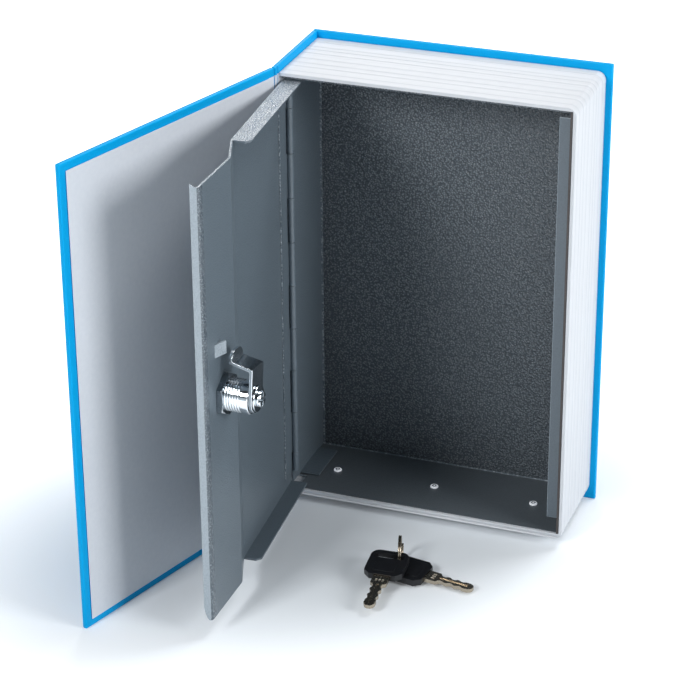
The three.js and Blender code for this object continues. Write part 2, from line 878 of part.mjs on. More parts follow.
function camScrew() {
  const low = washerInner + paperGap;
  const high = low + screwHeadThickness;
  const rim = screwHeadThickness / 4;
  let screw = turned([
    [0, washerInner - screwShankLength],
    [screwShankRadius, washerInner - screwShankLength],
    [screwShankRadius, low],
    [screwHeadRadius, low],
    [screwHeadRadius, high - rim],
    [screwHeadRadius - rim, high],
    [0, high],
  ]);
  const slot = screwSlotWidth / 2;
  const reach = screwHeadRadius + overrun;
  screw = screw.subtract(block(-reach, reach, high - screwSlotDepth, high + overrun, -slot, slot));
  screw = screw.subtract(block(-slot, slot, high - screwSlotDepth, high + overrun, -reach, reach));
  return piece("cam_screw", screw, finishes.chrome);
}

// Door with its lock, drawn closed about the hinge axis and then swung open
function door() {
  const leaf = new THREE.Group();
  leaf.add(doorPanel(), doorHingeLeaf());
  const lock = new THREE.Group();
  lock.add(lockHousing(), lockNut());
  const core = new THREE.Group();
  core.add(lockPlug(), lockCam(), camWasher(), camScrew(), ...lockWafers());
  core.rotation.y = THREE.MathUtils.degToRad(camRestAngle);
  lock.add(core);
  lock.position.set(...lockPlace);
  lock.rotation.z = -stripSlope;
  leaf.add(lock);
  leaf.position.set(hingeAxisX, hingeAxisY, 0);
  leaf.rotation.z = -THREE.MathUtils.degToRad(doorOpenAngle);
  return leaf;
}

// Distances along a key from the middle of its slot, towards the tip
const bowStart = -bowSlotInset - bowSlotWidth / 2;
const bowEnd = bowStart + bowLength;
const bladeEnd = bowEnd + bladeLength;

// Key bow: a flat plastic grip with a long slot for the ring and a pocket for the blade
function keyBow(name, slotShift) {
  const half = bowWidth / 2;
  const middle = -slotShift;
  const outline = roundedRectangle(bowStart, bowEnd, middle - half, middle + half, bowCornerRadius);
  let bow = raised(outline, 0, bowThickness);
  const slotHalf = bowSlotLength / 2;
  const slotWide = bowSlotWidth / 2;
  const slot = roundedRectangle(
    -slotWide,
    slotWide,
    middle - slotHalf,
    middle + slotHalf,
    slotWide - paperGap,
  );
  bow = bow.subtract(raised(slot, -overrun, bowThickness + overrun));
  const pocket = bladeShoulder / 2 + paperGap;
  const thick = bladeThickness / 2 + paperGap;
  const level = bowThickness / 2;
  bow = bow.subtract(
    block(
      bowEnd - bladeTang - paperGap,
      bowEnd + overrun,
      middle - pocket,
      middle + pocket,
      level - thick,
      level + thick,
    ),
  );
  return piece(name, bow, finishes.blackPlastic);
}

// Key blade: a shouldered strip with cuts along both edges and a groove on each face
function keyBlade(name, slotShift) {
  const shoulder = bladeShoulder / 2;
  const half = bladeWidth / 2;
  const level = bowThickness / 2;
  const start = bowEnd - bladeTang;
  const shoulderEnd = bowEnd + bladeShoulderLength;
  const cutSpan = (bladeEnd - half - shoulderEnd) / bladeCutDepthShares.length;
  const cuts = bladeCutDepthShares.map((share, i) => [
    shoulderEnd + (i + 0.5) * cutSpan,
    half * (1 - share),
  ]);
  const upper = [[shoulderEnd, half], ...cuts, [bladeEnd - half / 2, half]];
  const corners = [
    [start, shoulder],
    [shoulderEnd, shoulder],
    ...upper,
    [bladeEnd, half / 2],
  ];
  const mirrored = corners.map(([x, y]) => [x, -y]);
  const outline = new THREE.Shape(
    [...mirrored, ...corners.reverse()].map(([x, y]) => new THREE.Vector2(x, y - slotShift)),
  );
  let blade = raised(outline, level - bladeThickness / 2, level + bladeThickness / 2);
  const groove = bladeGrooveWidth / 2;
  [-1, 1].forEach((side) => {
    const face = level + (side * bladeThickness) / 2;
    const cut = block(
      bowEnd + bladeShoulderLength,
      bladeEnd + overrun,
      -groove - slotShift,
      groove - slotShift,
      face - bladeGrooveDepth,
      face + bladeGrooveDepth,
    );
    blade = blade.subtract(cut);
  });
  return piece(name, blade, finishes.nickel);
}

// A key as it lies: turned in the plan and sloping down to its tip, its slot round the ring
function key(number, x, y, lift, slotShift, heading, slope) {
  const group = new THREE.Group();
  group.add(keyBow(`key_${number}_bow`, slotShift), keyBlade(`key_${number}_blade`, slotShift));
  group.rotation.order = "ZYX";
  group.rotation.z = THREE.MathUtils.degToRad(heading);
  group.rotation.y = THREE.MathUtils.degToRad(slope);
  group.position.set(x, y, lift);
  return group;
}

// Split ring standing on edge through both slots, its coils pressed side by side
function keyRing() {
  const profile = [];
  const wireSides = fineSides / 2;
  for (let i = 0; i <= wireSides; i += 1) {
    const turn = (2 * Math.PI * i) / wireSides;
    const depth = ringCoils * ringWire * Math.sin(turn);
    profile.push([ringRadius + ringWire * Math.cos(turn), depth]);
  }
  const ring = piece("key_ring", turned(profile), finishes.nickel);
  ring.rotation.z = THREE.MathUtils.degToRad(ringTurn) - Math.PI / 2;
  ring.position.set(ringX, ringY, ringRadius + ringWire);
  return ring;
}

// The whole part, with its origin under the middle of the back board's lower edge
const book = new THREE.Group();
book.add(...fixedCovers(), frontCover(), pageBlockShell(), steelTray(), hingeSideWall(), strikeAngle());
book.add(...rivets(), ...fixedHinge(), door());
book.add(key(1, upperKeyX, upperKeyY, upperKeyLift, upperSlotShift, upperHeading, upperSlope));
book.add(key(2, lowerKeyX, lowerKeyY, lowerKeyLift, lowerSlotShift, lowerHeading, lowerSlope));
book.add(keyRing());
const backBoardMiddle = (spineX - jointRadius + blockWidth + coverOverhang) / 2;
book.position.set(-backBoardMiddle, -backInner - boardThickness / 2, 0);

const safe = new THREE.Group();
safe.add(book);
export default safe;
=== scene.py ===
# %% [markdown]
# # A book safe, standing open
# The object is a hardback book that hides a small steel cash box. This lesson dresses its imported CAD model.
# The CAD model gives every piece its place. Blender gives it rounded edges, threads, paint and paper.
# The first cell loads the frame.

import json
import math
from contextlib import contextmanager

import bmesh
import bpy
from mathutils import Matrix, Vector


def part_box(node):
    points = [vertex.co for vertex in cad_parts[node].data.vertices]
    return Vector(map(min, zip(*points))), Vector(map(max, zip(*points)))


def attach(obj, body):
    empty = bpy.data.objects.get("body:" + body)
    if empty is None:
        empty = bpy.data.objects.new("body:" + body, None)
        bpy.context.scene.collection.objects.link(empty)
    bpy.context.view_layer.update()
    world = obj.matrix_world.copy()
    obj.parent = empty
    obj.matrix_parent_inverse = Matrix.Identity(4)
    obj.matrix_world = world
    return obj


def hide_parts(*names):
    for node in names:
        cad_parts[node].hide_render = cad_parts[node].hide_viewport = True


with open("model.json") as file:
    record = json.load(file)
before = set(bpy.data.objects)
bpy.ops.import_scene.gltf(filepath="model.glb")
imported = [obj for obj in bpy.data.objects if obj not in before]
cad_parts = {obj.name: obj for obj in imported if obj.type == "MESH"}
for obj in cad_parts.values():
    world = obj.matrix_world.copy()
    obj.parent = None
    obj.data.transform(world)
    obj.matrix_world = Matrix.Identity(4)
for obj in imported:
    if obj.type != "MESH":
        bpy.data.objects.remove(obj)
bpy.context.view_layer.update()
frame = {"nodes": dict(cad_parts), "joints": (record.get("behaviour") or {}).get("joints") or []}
NODES = frame["nodes"]
MM = 0.001

# %% [markdown]
# ## The camera
# The view comes first, because every later choice is judged from it.
# A photograph fixes a camera's turn, tilt and distance once some corners of the object are matched to it.
# The focal length is given in pixels of a square picture, and the sensor is as wide as that picture.

# %% Place the camera
PICTURE_SIDE = 700
FOCAL_PIXELS = 2571.88
SENSOR_WIDTH = 36
AZIMUTH = math.radians(20.129)
ELEVATION = math.radians(26.481)
ROLL = math.radians(-0.351)
CAMERA_PLACE = Vector((0.359015, -1.140032, 0.668883))

back = Vector(
    (
        math.sin(AZIMUTH) * math.cos(ELEVATION),
        -math.cos(AZIMUTH) * math.cos(ELEVATION),
        math.sin(ELEVATION),
    )
)
level_right = Vector((math.cos(AZIMUTH), math.sin(AZIMUTH), 0))
level_up = back.cross(level_right)
right = level_right * math.cos(ROLL) + level_up * math.sin(ROLL)
up = level_up * math.cos(ROLL) - level_right * math.sin(ROLL)
bpy.ops.object.camera_add()
camera = bpy.context.object
camera.name = "photo_view"
camera.matrix_world = Matrix.Translation(CAMERA_PLACE) @ Matrix((right, up, back)).transposed().to_4x4()
camera.data.sensor_width = SENSOR_WIDTH
camera.data.lens = SENSOR_WIDTH * FOCAL_PIXELS / PICTURE_SIDE
bpy.context.scene.camera = camera
bpy.context.scene.view_settings.view_transform = "Standard"
print("lens", round(camera.data.lens, 1), "mm")

# %% [markdown]
# ## Helpers for working by hand
# Blender's operators act on what is selected, so each step starts by clearing the selection.
# Faces and edges are then picked in code, by their place or by the way they face.


# %% Select, edit and finish
def take(piece):
    bpy.ops.object.select_all(action="DESELECT")
    piece.select_set(True)
    bpy.context.view_layer.objects.active = piece


@contextmanager
def editing(piece):
    take(piece)
    bpy.ops.object.mode_set(mode="EDIT")
    bpy.ops.mesh.select_mode(type="FACE")
    bpy.ops.mesh.select_all(action="DESELECT")
    yield
    bpy.ops.object.mode_set(mode="OBJECT")


def pick_faces(piece, wanted):
    """Selects only the faces for which wanted(centre, normal) holds."""
    mesh = bmesh.from_edit_mesh(piece.data)
    for face in mesh.faces:
        face.select_set(bool(wanted(face.calc_center_median(), face.normal)))
    bmesh.update_edit_mesh(piece.data)


def pick_edges(piece, wanted):
    """Selects only the edges for which wanted(one end, other end) holds."""
    bpy.ops.mesh.select_mode(type="EDGE")
    mesh = bmesh.from_edit_mesh(piece.data)
    for edge in mesh.edges:
        edge.select_set(bool(wanted(*(vertex.co for vertex in edge.verts))))
    bmesh.update_edit_mesh(piece.data)


def apply_place(piece):
    take(piece)
    bpy.ops.object.transform_apply(location=True, rotation=True, scale=True)


def finish_with(piece, kind, **settings):
    """Adds one modifier with its settings and applies it."""
    take(piece)
    modifier = piece.modifiers.new(kind.lower(), kind)
    for name, value in settings.items():
        setattr(modifier, name, value)
    bpy.ops.object.modifier_apply(modifier=modifier.name)


def smooth(piece, degrees=35):
    """Shades by angle, then lets the large faces set the normals, so that they look flat."""
    take(piece)
    bpy.ops.object.shade_smooth_by_angle(angle=math.radians(degrees))
    finish_with(piece, "WEIGHTED_NORMAL", keep_sharp=True)


def dress(piece, *materials):
    piece.data.materials.clear()
    for material in materials:
        piece.data.materials.append(material)


def paint(piece, number, wanted):
    """Gives the material of that number to the faces for which wanted(centre, normal) holds."""
    for face in piece.data.polygons:
        if wanted(face.center, face.normal):
            face.material_index = number


def hand_over(piece, body, slot, *nodes):
    """Puts a finished piece on its body, and hides the nodes that it stands for."""
    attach(piece, body)
    if nodes:
        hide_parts(*nodes)
    size = [round(side / MM, 1) for side in piece.dimensions]
    print(piece.name, len(piece.data.polygons), "faces", size, "mm")


# %% [markdown]
# ## Colour and material helpers
# Colours are written as they are read from a screen, so one function turns them into linear light.
# A second one adds a shader node with its settings, its values and its links.


# %% Colour and shader nodes
def colour(code):
    """A six-digit sRGB code as linear red, green, blue and alpha."""
    shares = [int(code[i : i + 2], 16) / 255 for i in (0, 2, 4)]
    linear = [s / 12.92 if s <= 0.04045 else ((s + 0.055) / 1.055) ** 2.4 for s in shares]
    return (*linear, 1)


def add(tree, kind, settings=None, **inputs):
    """A new shader node. An input is a number, a colour or a pair of node and output name."""
    made = tree.nodes.new(kind)
    for name, value in (settings or {}).items():
        setattr(made, name, value)
    for name, value in inputs.items():
        socket = made.inputs[name.replace("_", " ")]
        if isinstance(value, tuple) and isinstance(value[0], bpy.types.Node):
            tree.links.new(value[0].outputs[value[1]], socket)
        else:
            socket.default_value = value
    return made


def blank(name):
    """A new material with only its output and a Principled shader."""
    material = bpy.data.materials.new(name)
    material.use_nodes = True
    tree = material.node_tree
    tree.nodes.clear()
    shader = add(tree, "ShaderNodeBsdfPrincipled")
    output = add(tree, "ShaderNodeOutputMaterial")
    tree.links.new(shader.outputs[0], output.inputs[0])
    return material, tree, shader


def per_metre(size_mm):
    """The scale at which one unit of a pattern is that many millimetres wide."""
    return 1 / (size_mm * MM)


# %% [markdown]
# ## Finish: laminated cover paper
# The boards are wrapped in bright blue printed paper with a thin film on it. The film makes it satin, so a
# broad soft highlight runs along the edges. Paper pulled over board shows faint fibres, drawn here as
# stretched noise. They are 0.5 mm wide, a little coarser than life, so that they show.

# %% Cover paper
FIBRE_MM = 0.5
cover_paper, tree, shader = blank("laminated_cover_paper")
place = add(tree, "ShaderNodeTexCoord")
stretch = add(tree, "ShaderNodeMapping", Vector=(place, "Object"), Scale=(1, 1, 0.3))
fibres = add(
    tree, "ShaderNodeTexNoise", Vector=(stretch, "Vector"), Scale=per_metre(FIBRE_MM), Detail=3
)
tint = add(tree, "ShaderNodeValToRGB", Fac=(fibres, "Fac"))
tint.color_ramp.elements[0].color = colour("00A4E5")
tint.color_ramp.elements[1].color = colour("00AFF1")
relief = add(tree, "ShaderNodeBump", Height=(fibres, "Fac"), Strength=0.12, Distance=0.05 * MM)
tree.links.new(tint.outputs["Color"], shader.inputs["Base Color"])
tree.links.new(relief.outputs["Normal"], shader.inputs["Normal"])
shader.inputs["Roughness"].default_value = 0.5
shader.inputs["Specular IOR Level"].default_value = 0.12
print("cover paper has fibres", FIBRE_MM, "mm wide")

# %% [markdown]
# ## Finish: endpaper
# Uncoated pale paper pasted inside the cover. It is fully matt, and a slight mottle keeps it from looking
# like plastic. Pulp clumps are about 2 mm across and barely show.

# %% Endpaper
MOTTLE_MM = 2.2
endpaper, tree, shader = blank("uncoated_endpaper")
place = add(tree, "ShaderNodeTexCoord")
pulp = add(
    tree, "ShaderNodeTexNoise", Vector=(place, "Object"), Scale=per_metre(MOTTLE_MM), Detail=6
)
tint = add(tree, "ShaderNodeValToRGB", Fac=(pulp, "Fac"))
tint.color_ramp.elements[0].color = colour("D8DEE7")
tint.color_ramp.elements[1].color = colour("E2E7EE")
relief = add(tree, "ShaderNodeBump", Height=(pulp, "Fac"), Strength=0.1, Distance=0.04 * MM)
tree.links.new(tint.outputs["Color"], shader.inputs["Base Color"])
tree.links.new(relief.outputs["Normal"], shader.inputs["Normal"])
shader.inputs["Roughness"].default_value = 0.9
shader.inputs["IOR"].default_value = 1.45
print("endpaper mottle is", MOTTLE_MM, "mm")

# %% [markdown]
# ## Finish: moulded pages
# The page block is white plastic with broad ribs, and the grooves between them are painted darker, as
# painted shade. The grooves lie at fixed depths of the book, so a colour ramp along the object's own Y
# darkens each one with painted shade.
# Between them the mould has finer lines, as cut pages show, which noise along the same axis draws.

# %% Page plastic
PAGE_LINE_MM = 1.2
BLOCK_FRONT, BLOCK_BACK = -54.6 * MM, -1.6 * MM
GROOVE_SHARES = (0.094, 0.223, 0.321, 0.44, 0.581, 0.679, 0.755, 0.883)
GROOVE_HALF = 0.011
page_plastic, tree, shader = blank("moulded_page_plastic")
place = add(tree, "ShaderNodeTexCoord")
axes = add(tree, "ShaderNodeSeparateXYZ", Vector=(place, "Object"))
depth = add(
    tree, "ShaderNodeMapRange", Value=(axes, "Y"), From_Min=BLOCK_FRONT, From_Max=BLOCK_BACK
)
grooves = add(tree, "ShaderNodeValToRGB", Fac=(depth, "Result"))
ramp = grooves.color_ramp
ramp.elements[0].color = ramp.elements[1].color = colour("DCDFE4")
# each groove gets a darker band: painted shade
for share in GROOVE_SHARES:
    for offset, code in ((-GROOVE_HALF, "D9DCE1"), (0, "C8CDD4"), (GROOVE_HALF, "DCDFE4")):
        ramp.elements.new(share + offset).color = colour(code)
wander = add(
    tree,
    "ShaderNodeTexNoise",
    {"noise_dimensions": "1D"},
    W=(axes, "Y"),
    Scale=per_metre(PAGE_LINE_MM),
    Detail=2,
)
lines = add(
    tree, "ShaderNodeMapRange", Value=(wander, "Fac"), From_Min=0.35, From_Max=0.65, To_Min=0.94
)
tint = add(tree, "ShaderNodeMix", {"data_type": "RGBA", "blend_type": "MULTIPLY"})
tint.inputs["Factor"].default_value = 1
tree.links.new(grooves.outputs["Color"], tint.inputs["A"])
tree.links.new(lines.outputs["Result"], tint.inputs["B"])
relief = add(tree, "ShaderNodeBump", Height=(wander, "Fac"), Strength=0.4, Distance=0.12 * MM)
tree.links.new(tint.outputs["Result"], shader.inputs["Base Color"])
tree.links.new(relief.outputs["Normal"], shader.inputs["Normal"])
shader.inputs["Roughness"].default_value = 0.5
shader.inputs["IOR"].default_value = 1.49
print("page block has", len(GROOVE_SHARES), "grooves and lines about", PAGE_LINE_MM, "mm apart")

# %% [markdown]
# ## Finish: slate powder coat
# The steel is sprayed with powder and baked. The powder melts into small rounded hills, coarse on the
# back wall of the box and fine on the door. Rounded cells bent by noise give the hills, and their tops are
# painted lighter and their valleys darker, as painted highlight and painted shade. The coat is a hard
# plastic skin, so it is not metallic, and its gloss breaks up over the hills. Some places get a lighter,
# glossier coat as painted highlight: the bend of the door's lip, which also has coarser grain, the strips
# where two sheets meet, the flange at the door's head, and the thin rounds of the edges. The flat inner
# floor has a coat of its own. A blunt cut edge shows brown under the powder.


# %% Powder coats
def powder_coat(name, hill_mm, height_mm, codes, roughness, stops=(0, 1)):
    """A coat with hills of that width and height. Its tops get the first colour as painted highlight, its
    valleys the second as painted shade.
    """
    material, tree, shader = blank(name)
    place = add(tree, "ShaderNodeTexCoord")
    bend = add(
        tree, "ShaderNodeTexNoise", Vector=(place, "Object"), Scale=per_metre(2 * hill_mm), Detail=2
    )
    shift = add(
        tree,
        "ShaderNodeVectorMath",
        {"operation": "SCALE"},
        Vector=(bend, "Color"),
        Scale=hill_mm * MM,
    )
    bent = add(tree, "ShaderNodeVectorMath", {"operation": "ADD"})
    tree.links.new(place.outputs["Object"], bent.inputs[0])
    tree.links.new(shift.outputs["Vector"], bent.inputs[1])
    hills = add(
        tree,
        "ShaderNodeTexVoronoi",
        {"feature": "SMOOTH_F1"},
        Vector=(bent, "Vector"),
        Scale=per_metre(hill_mm),
        Smoothness=0.6,
    )
    tint = add(tree, "ShaderNodeValToRGB", Fac=(hills, "Distance"))
    for stop, share, code in zip(tint.color_ramp.elements, stops, codes):
        stop.position = share
        stop.color = colour(code)
    relief = add(
        tree,
        "ShaderNodeBump",
        {"invert": True},
        Height=(hills, "Distance"),
        Strength=1.0,
        Distance=height_mm * MM,
    )
    tree.links.new(tint.outputs["Color"], shader.inputs["Base Color"])
    tree.links.new(relief.outputs["Normal"], shader.inputs["Normal"])
    shader.inputs["Roughness"].default_value = roughness
    shader.inputs["IOR"].default_value = 1.55
    print(name, "has hills", hill_mm, "mm wide and", height_mm, "mm high")
    return material


coarse_coat = powder_coat(
    "slate_powder_coat_coarse", 1.0, 0.6, ("7F888F", "50575D"), 0.27, (0.08, 0.55)
)
fine_coat = powder_coat("slate_powder_coat_fine", 0.7, 0.12, ("67737D", "5D6972"), 0.32)
# the next four coats are lighter than the fine coat: painted highlights for bends, corners, the flange and
# edges
bend_grain_and_highlight_coat = powder_coat(
    "slate_powder_coat_bend", 0.8, 0.25, ("A7B2BB", "56616A"), 0.22, (0.05, 0.45)
)
bead_highlight_coat = powder_coat(
    "slate_powder_coat_bead_highlight", 1.2, 0.5, ("C3CCD4", "76818A"), 0.22, (0.1, 0.55)
)
flange_highlight_coat = powder_coat(
    "slate_powder_coat_flange_highlight", 0.8, 0.4, ("FAFBFC", "9AA4AD"), 0.22, (0.05, 0.5)
)
floor_coat = powder_coat("slate_powder_coat_floor", 0.7, 0.06, ("646C72", "565D63"), 0.36)
edge_highlight_coat = powder_coat("slate_powder_coat_edge_highlight", 0.7, 0.12, ("AAB5BE", "929EA7"), 0.25)
cut_edge = powder_coat("blunt_cut_edge", 0.7, 0.1, ("4A4341", "35302F"), 0.5)

# %% [markdown]
# ## Finishes: plated metals
# The lock is bright chrome on zinc, the keys and the ring are nickel on steel and brass, and the wafers
# inside the lock are bare brass. Freshly struck marks in the keys are a lighter nickel, and the sheared
# sides of the cam are duller than its faces. The nut's sides get the same dull metal as painted shade.
# Each one is fully metallic, and what sets them apart is tint and roughness. Polishing leaves faint
# streaks, so the roughness wanders a little over each.


# %% Plated metals
def plated(name, code, low, high, streak_mm):
    """A metal whose roughness wanders from low to high over streaks of that width."""
    material, tree, shader = blank(name)
    place = add(tree, "ShaderNodeTexCoord")
    streaks = add(
        tree, "ShaderNodeTexNoise", Vector=(place, "Object"), Scale=per_metre(streak_mm), Detail=4
    )
    rough = add(tree, "ShaderNodeMapRange", Value=(streaks, "Fac"), To_Min=low, To_Max=high)
    tree.links.new(rough.outputs["Result"], shader.inputs["Roughness"])
    shader.inputs["Base Color"].default_value = colour(code)
    shader.inputs["Metallic"].default_value = 1
    return material


chrome = plated("bright_chrome_plate", "DDE3E8", 0.04, 0.16, 3)
nickel = plated("nickel_plate", "B3A897", 0.16, 0.34, 1.2)
bright_nickel = plated("freshly_stamped_nickel", "E6DED0", 0.3, 0.5, 0.8)
brass = plated("bare_brass", "C9A558", 0.2, 0.4, 1.5)
sheared_edge_and_nut_shade = plated("plated_sheared_edge_and_nut_shade", "78828A", 0.2, 0.4, 1.5)
print("metals:", chrome.name, nickel.name, bright_nickel.name, brass.name, sheared_edge_and_nut_shade.name)

# %% [markdown]
# ## Finishes: black nylon and white rivets
# The key bows are black nylon moulded over the blades, with a fine spark-eroded grain that makes them
# satin. The rivets are pushed in through the box and show small white heads. The white nylon is given a
# faint blue-white glow, painted light that makes it look whiter than anything round it. The ring that the
# mould leaves in a rivet's head is painted darker, as painted shade.


# %% Moulded plastics
def moulded(name, dark, light, roughness, grain_mm, glow=0):
    """A plastic whose colour and relief come from the grain of its mould."""
    material, tree, shader = blank(name)
    place = add(tree, "ShaderNodeTexCoord")
    grain = add(
        tree, "ShaderNodeTexNoise", Vector=(place, "Object"), Scale=per_metre(grain_mm), Detail=3
    )
    tint = add(tree, "ShaderNodeValToRGB", Fac=(grain, "Fac"))
    tint.color_ramp.elements[0].color = colour(dark)
    tint.color_ramp.elements[1].color = colour(light)
    relief = add(tree, "ShaderNodeBump", Height=(grain, "Fac"), Strength=0.25, Distance=0.04 * MM)
    tree.links.new(tint.outputs["Color"], shader.inputs["Base Color"])
    tree.links.new(relief.outputs["Normal"], shader.inputs["Normal"])
    shader.inputs["Roughness"].default_value = roughness
    shader.inputs["Emission Color"].default_value = colour("EEF4FF")
    # an emission strength above 0 makes the plastic glow: painted light
    shader.inputs["Emission Strength"].default_value = glow
    return material


PAINTED_GLOW = 0.28
black_nylon = moulded("black_nylon", "0F1013", "1A1B1F", 0.36, 0.4)
white_nylon_with_painted_glow = moulded("white_nylon_with_painted_glow", "F4F6F8", "FCFDFE", 0.3, 0.5, PAINTED_GLOW)
painted_hollow_shade = moulded("shaded_hollow", "5A6066", "6C7278", 0.6, 0.5)
print("plastics:", black_nylon.name, white_nylon_with_painted_glow.name, painted_hollow_shade.name)

# %% [markdown]
# ## The covers
# Each cover is grey board wrapped in paper. The paper is folded over the board's edges and turned in, and
# the endpaper covers all but a margin of the turn-in. A box of the board's size gets round edges first, as
# wrapped board has. Then its inner face is inset by the margin and pressed in a little, which leaves the
# turn-in as a raised border with mitred corners.

# %% Wrapped boards
EDGE_ROUND = 0.7 * MM
TURN_IN = 4 * MM
PRESS = 0.15 * MM


def box_piece(name, low, high):
    bpy.ops.object.select_all(action="DESELECT")
    bpy.ops.mesh.primitive_cube_add(size=1, location=(low + high) / 2, scale=high - low)
    piece = bpy.context.object
    piece.name = name
    apply_place(piece)
    return piece


def wrapped_board(name, low, high, inner):
    """A board between two corners whose inner face looks along the given direction."""
    piece = box_piece(name, low, high)
    finish_with(piece, "BEVEL", width=EDGE_ROUND, segments=4, limit_method="ANGLE")
    with editing(piece):
        pick_faces(piece, lambda centre, normal: normal.dot(inner) > 0.99)
        bpy.ops.mesh.inset(thickness=TURN_IN - EDGE_ROUND, depth=-PRESS)
    dress(piece, cover_paper, endpaper)
    smooth(piece)
    return piece


back_board = wrapped_board("back_board", *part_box("back_cover_board"), Vector((0, -1, 0)))
hand_over(back_board, "case", "cover_cloth", "back_cover_board")

# %% [markdown]
# The spine is a plain wrapped board. The endpaper runs over its inner half to the page block, and the blue
# paper is turned in at the head and the foot. Three cuts part off the place for the endpaper.

# %% Spine
low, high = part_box("spine_board")
spine = box_piece("spine", low, high)
finish_with(spine, "BEVEL", width=EDGE_ROUND, segments=4, limit_method="ANGLE")
middle = (low.x + high.x) / 2
with editing(spine):
    for height in (low.z + TURN_IN, high.z - TURN_IN):
        bpy.ops.mesh.select_all(action="SELECT")
        bpy.ops.mesh.bisect(plane_co=(0, 0, height), plane_no=(0, 0, 1))
    bpy.ops.mesh.select_all(action="SELECT")
    bpy.ops.mesh.bisect(plane_co=(middle, 0, 0), plane_no=(1, 0, 0))
dress(spine, cover_paper, endpaper)
paint(
    spine,
    1,
    lambda centre, normal: low.z + TURN_IN < centre.z < high.z - TURN_IN
    and centre.x > middle
    and (normal.y < -0.3 or normal.x > 0.3),
)
smooth(spine)
hand_over(spine, "case", "cover_cloth", "spine_board")

# %% [markdown]
# The front cover hangs on the flexible joint and stands open. It is easier to build closed, square to the
# world, and then to swing as the hinge does. The node's own points, swung back, give its closed size.
# The endpaper runs over the joint on to the page block, so beside the joint no blue margin shows, and the
# border there is painted as endpaper between two cuts.


# %% Front cover
COVER_OPEN = math.radians(107.1)
JOINTS = {joint["name"]: joint for joint in frame["joints"]}
cover_axis = Vector(JOINTS["cover_hinge"]["pos_m"]) * Vector((1, 1, 0))


def swing(place, angle):
    """The matrix that turns about the upright line through a place, opening as the cover does."""
    return Matrix.Translation(place) @ Matrix.Rotation(-angle, 4, "Z") @ Matrix.Translation(-place)


def closed_box(node, place, angle):
    """A node's corners once it is swung shut."""
    shut = swing(place, -angle)
    points = [shut @ v.co for v in NODES[node].data.vertices]
    low = Vector([min(p[i] for p in points) for i in range(3)])
    high = Vector([max(p[i] for p in points) for i in range(3)])
    return low, high


low, high = closed_box("front_cover_board", cover_axis, COVER_OPEN)
front_board = wrapped_board("front_board", low, high, Vector((0, 1, 0)))
beside_joint = low.x + TURN_IN
with editing(front_board):
    for height in (low.z + TURN_IN, high.z - TURN_IN):
        pick_faces(front_board, lambda centre, normal: centre.x < beside_joint)
        bpy.ops.mesh.bisect(plane_co=(0, 0, height), plane_no=(0, 0, 1))
paint(
    front_board,
    1,
    lambda centre, normal: centre.x < beside_joint
    and low.z + TURN_IN < centre.z < high.z - TURN_IN
    and normal.y > 0.3,
)
front_board.data.transform(swing(cover_axis, COVER_OPEN))
hand_over(front_board, "front_cover", "cover_cloth", "front_cover_board")

# %% [markdown]
# The endpaper is a thin sheet of its own, pasted on the board. It is built shut and swung open in the same
# way, with its edges rounded only by the thickness of paper.

# %% Endpaper sheet
endleaf = box_piece("endpaper", *closed_box("front_endpaper", cover_axis, COVER_OPEN))
finish_with(endleaf, "BEVEL", width=0.12 * MM, segments=2, limit_method="ANGLE")
endleaf.data.transform(swing(cover_axis, COVER_OPEN))
dress(endleaf, endpaper)
smooth(endleaf)
hand_over(endleaf, "front_cover", "endpaper", "front_endpaper")

# %% [markdown]
# The joint between spine and front cover is paper rolled into a thin bead, blue outside and pale inside,
# where the endpaper runs over it. At the head and the foot the blue paper is turned in, so a short length
# stays blue all round. Two cuts across the rod part off those ends.

# %% Joint bead
low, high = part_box("cover_joint_strip")
bpy.ops.object.select_all(action="DESELECT")
bpy.ops.mesh.primitive_cylinder_add(
    vertices=32, radius=(high.x - low.x) / 2, depth=high.z - low.z, location=(low + high) / 2
)
bead = bpy.context.object
bead.name = "joint_bead"
apply_place(bead)
finish_with(bead, "BEVEL", width=0.4 * MM, segments=3, limit_method="ANGLE")
with editing(bead):
    for height in (low.z + TURN_IN, high.z - TURN_IN):
        bpy.ops.mesh.select_all(action="SELECT")
        bpy.ops.mesh.bisect(plane_co=(0, 0, height), plane_no=(0, 0, 1))
dress(bead, cover_paper, endpaper)
INSIDE = Vector((0.83, -0.56, 0)).normalized()
INSIDE_HALF = math.radians(30.68)
paint(
    bead,
    1,
    lambda centre, normal: low.z + TURN_IN < centre.z < high.z - TURN_IN
    and normal.dot(INSIDE) > math.cos(INSIDE_HALF),
)
smooth(bead, 40)
hand_over(bead, "case", "cover_cloth", "cover_joint_strip")

# %% [markdown]
# ## Pieces that keep their CAD shape
# The page block, the folded steel and the small lock parts already have the right form, down to their
# holes. What they lack is the soft edge that moulding, folding and plating leave. A copy of the node is
# merged into whole faces, its edges are rounded by a fraction of a millimetre, and it stands for the node.
# The rounded edges can have a finish of their own, which the bevel gives to the faces that it makes. On
# the painted steel that finish is a lighter coat, a painted highlight along each edge.

# %% Copies with soft edges
FLAT = math.radians(0.6)


def merged_copy(node, name, *materials):
    """A node's shape as whole faces, with the given materials."""
    piece = bpy.data.objects.new(name, NODES[node].data.copy())
    bpy.context.scene.collection.objects.link(piece)
    dress(piece, *materials)
    with editing(piece):
        bpy.ops.mesh.select_all(action="SELECT")
        bpy.ops.mesh.customdata_custom_splitnormals_clear()
        bpy.ops.mesh.remove_doubles(threshold=0.002 * MM)
        bpy.ops.mesh.dissolve_limited(angle_limit=FLAT)
    return piece


def soften(piece, radius_mm, segments=2, sharp=28):
    """Rounds every edge sharper than that many degrees. The piece's last material goes to the rounds."""
    finish_with(
        piece,
        "BEVEL",
        width=radius_mm * MM,
        segments=segments,
        limit_method="ANGLE",
        angle_limit=math.radians(sharp),
        miter_outer="MITER_ARC",
        material=len(piece.data.materials) - 1,
    )
    smooth(piece)


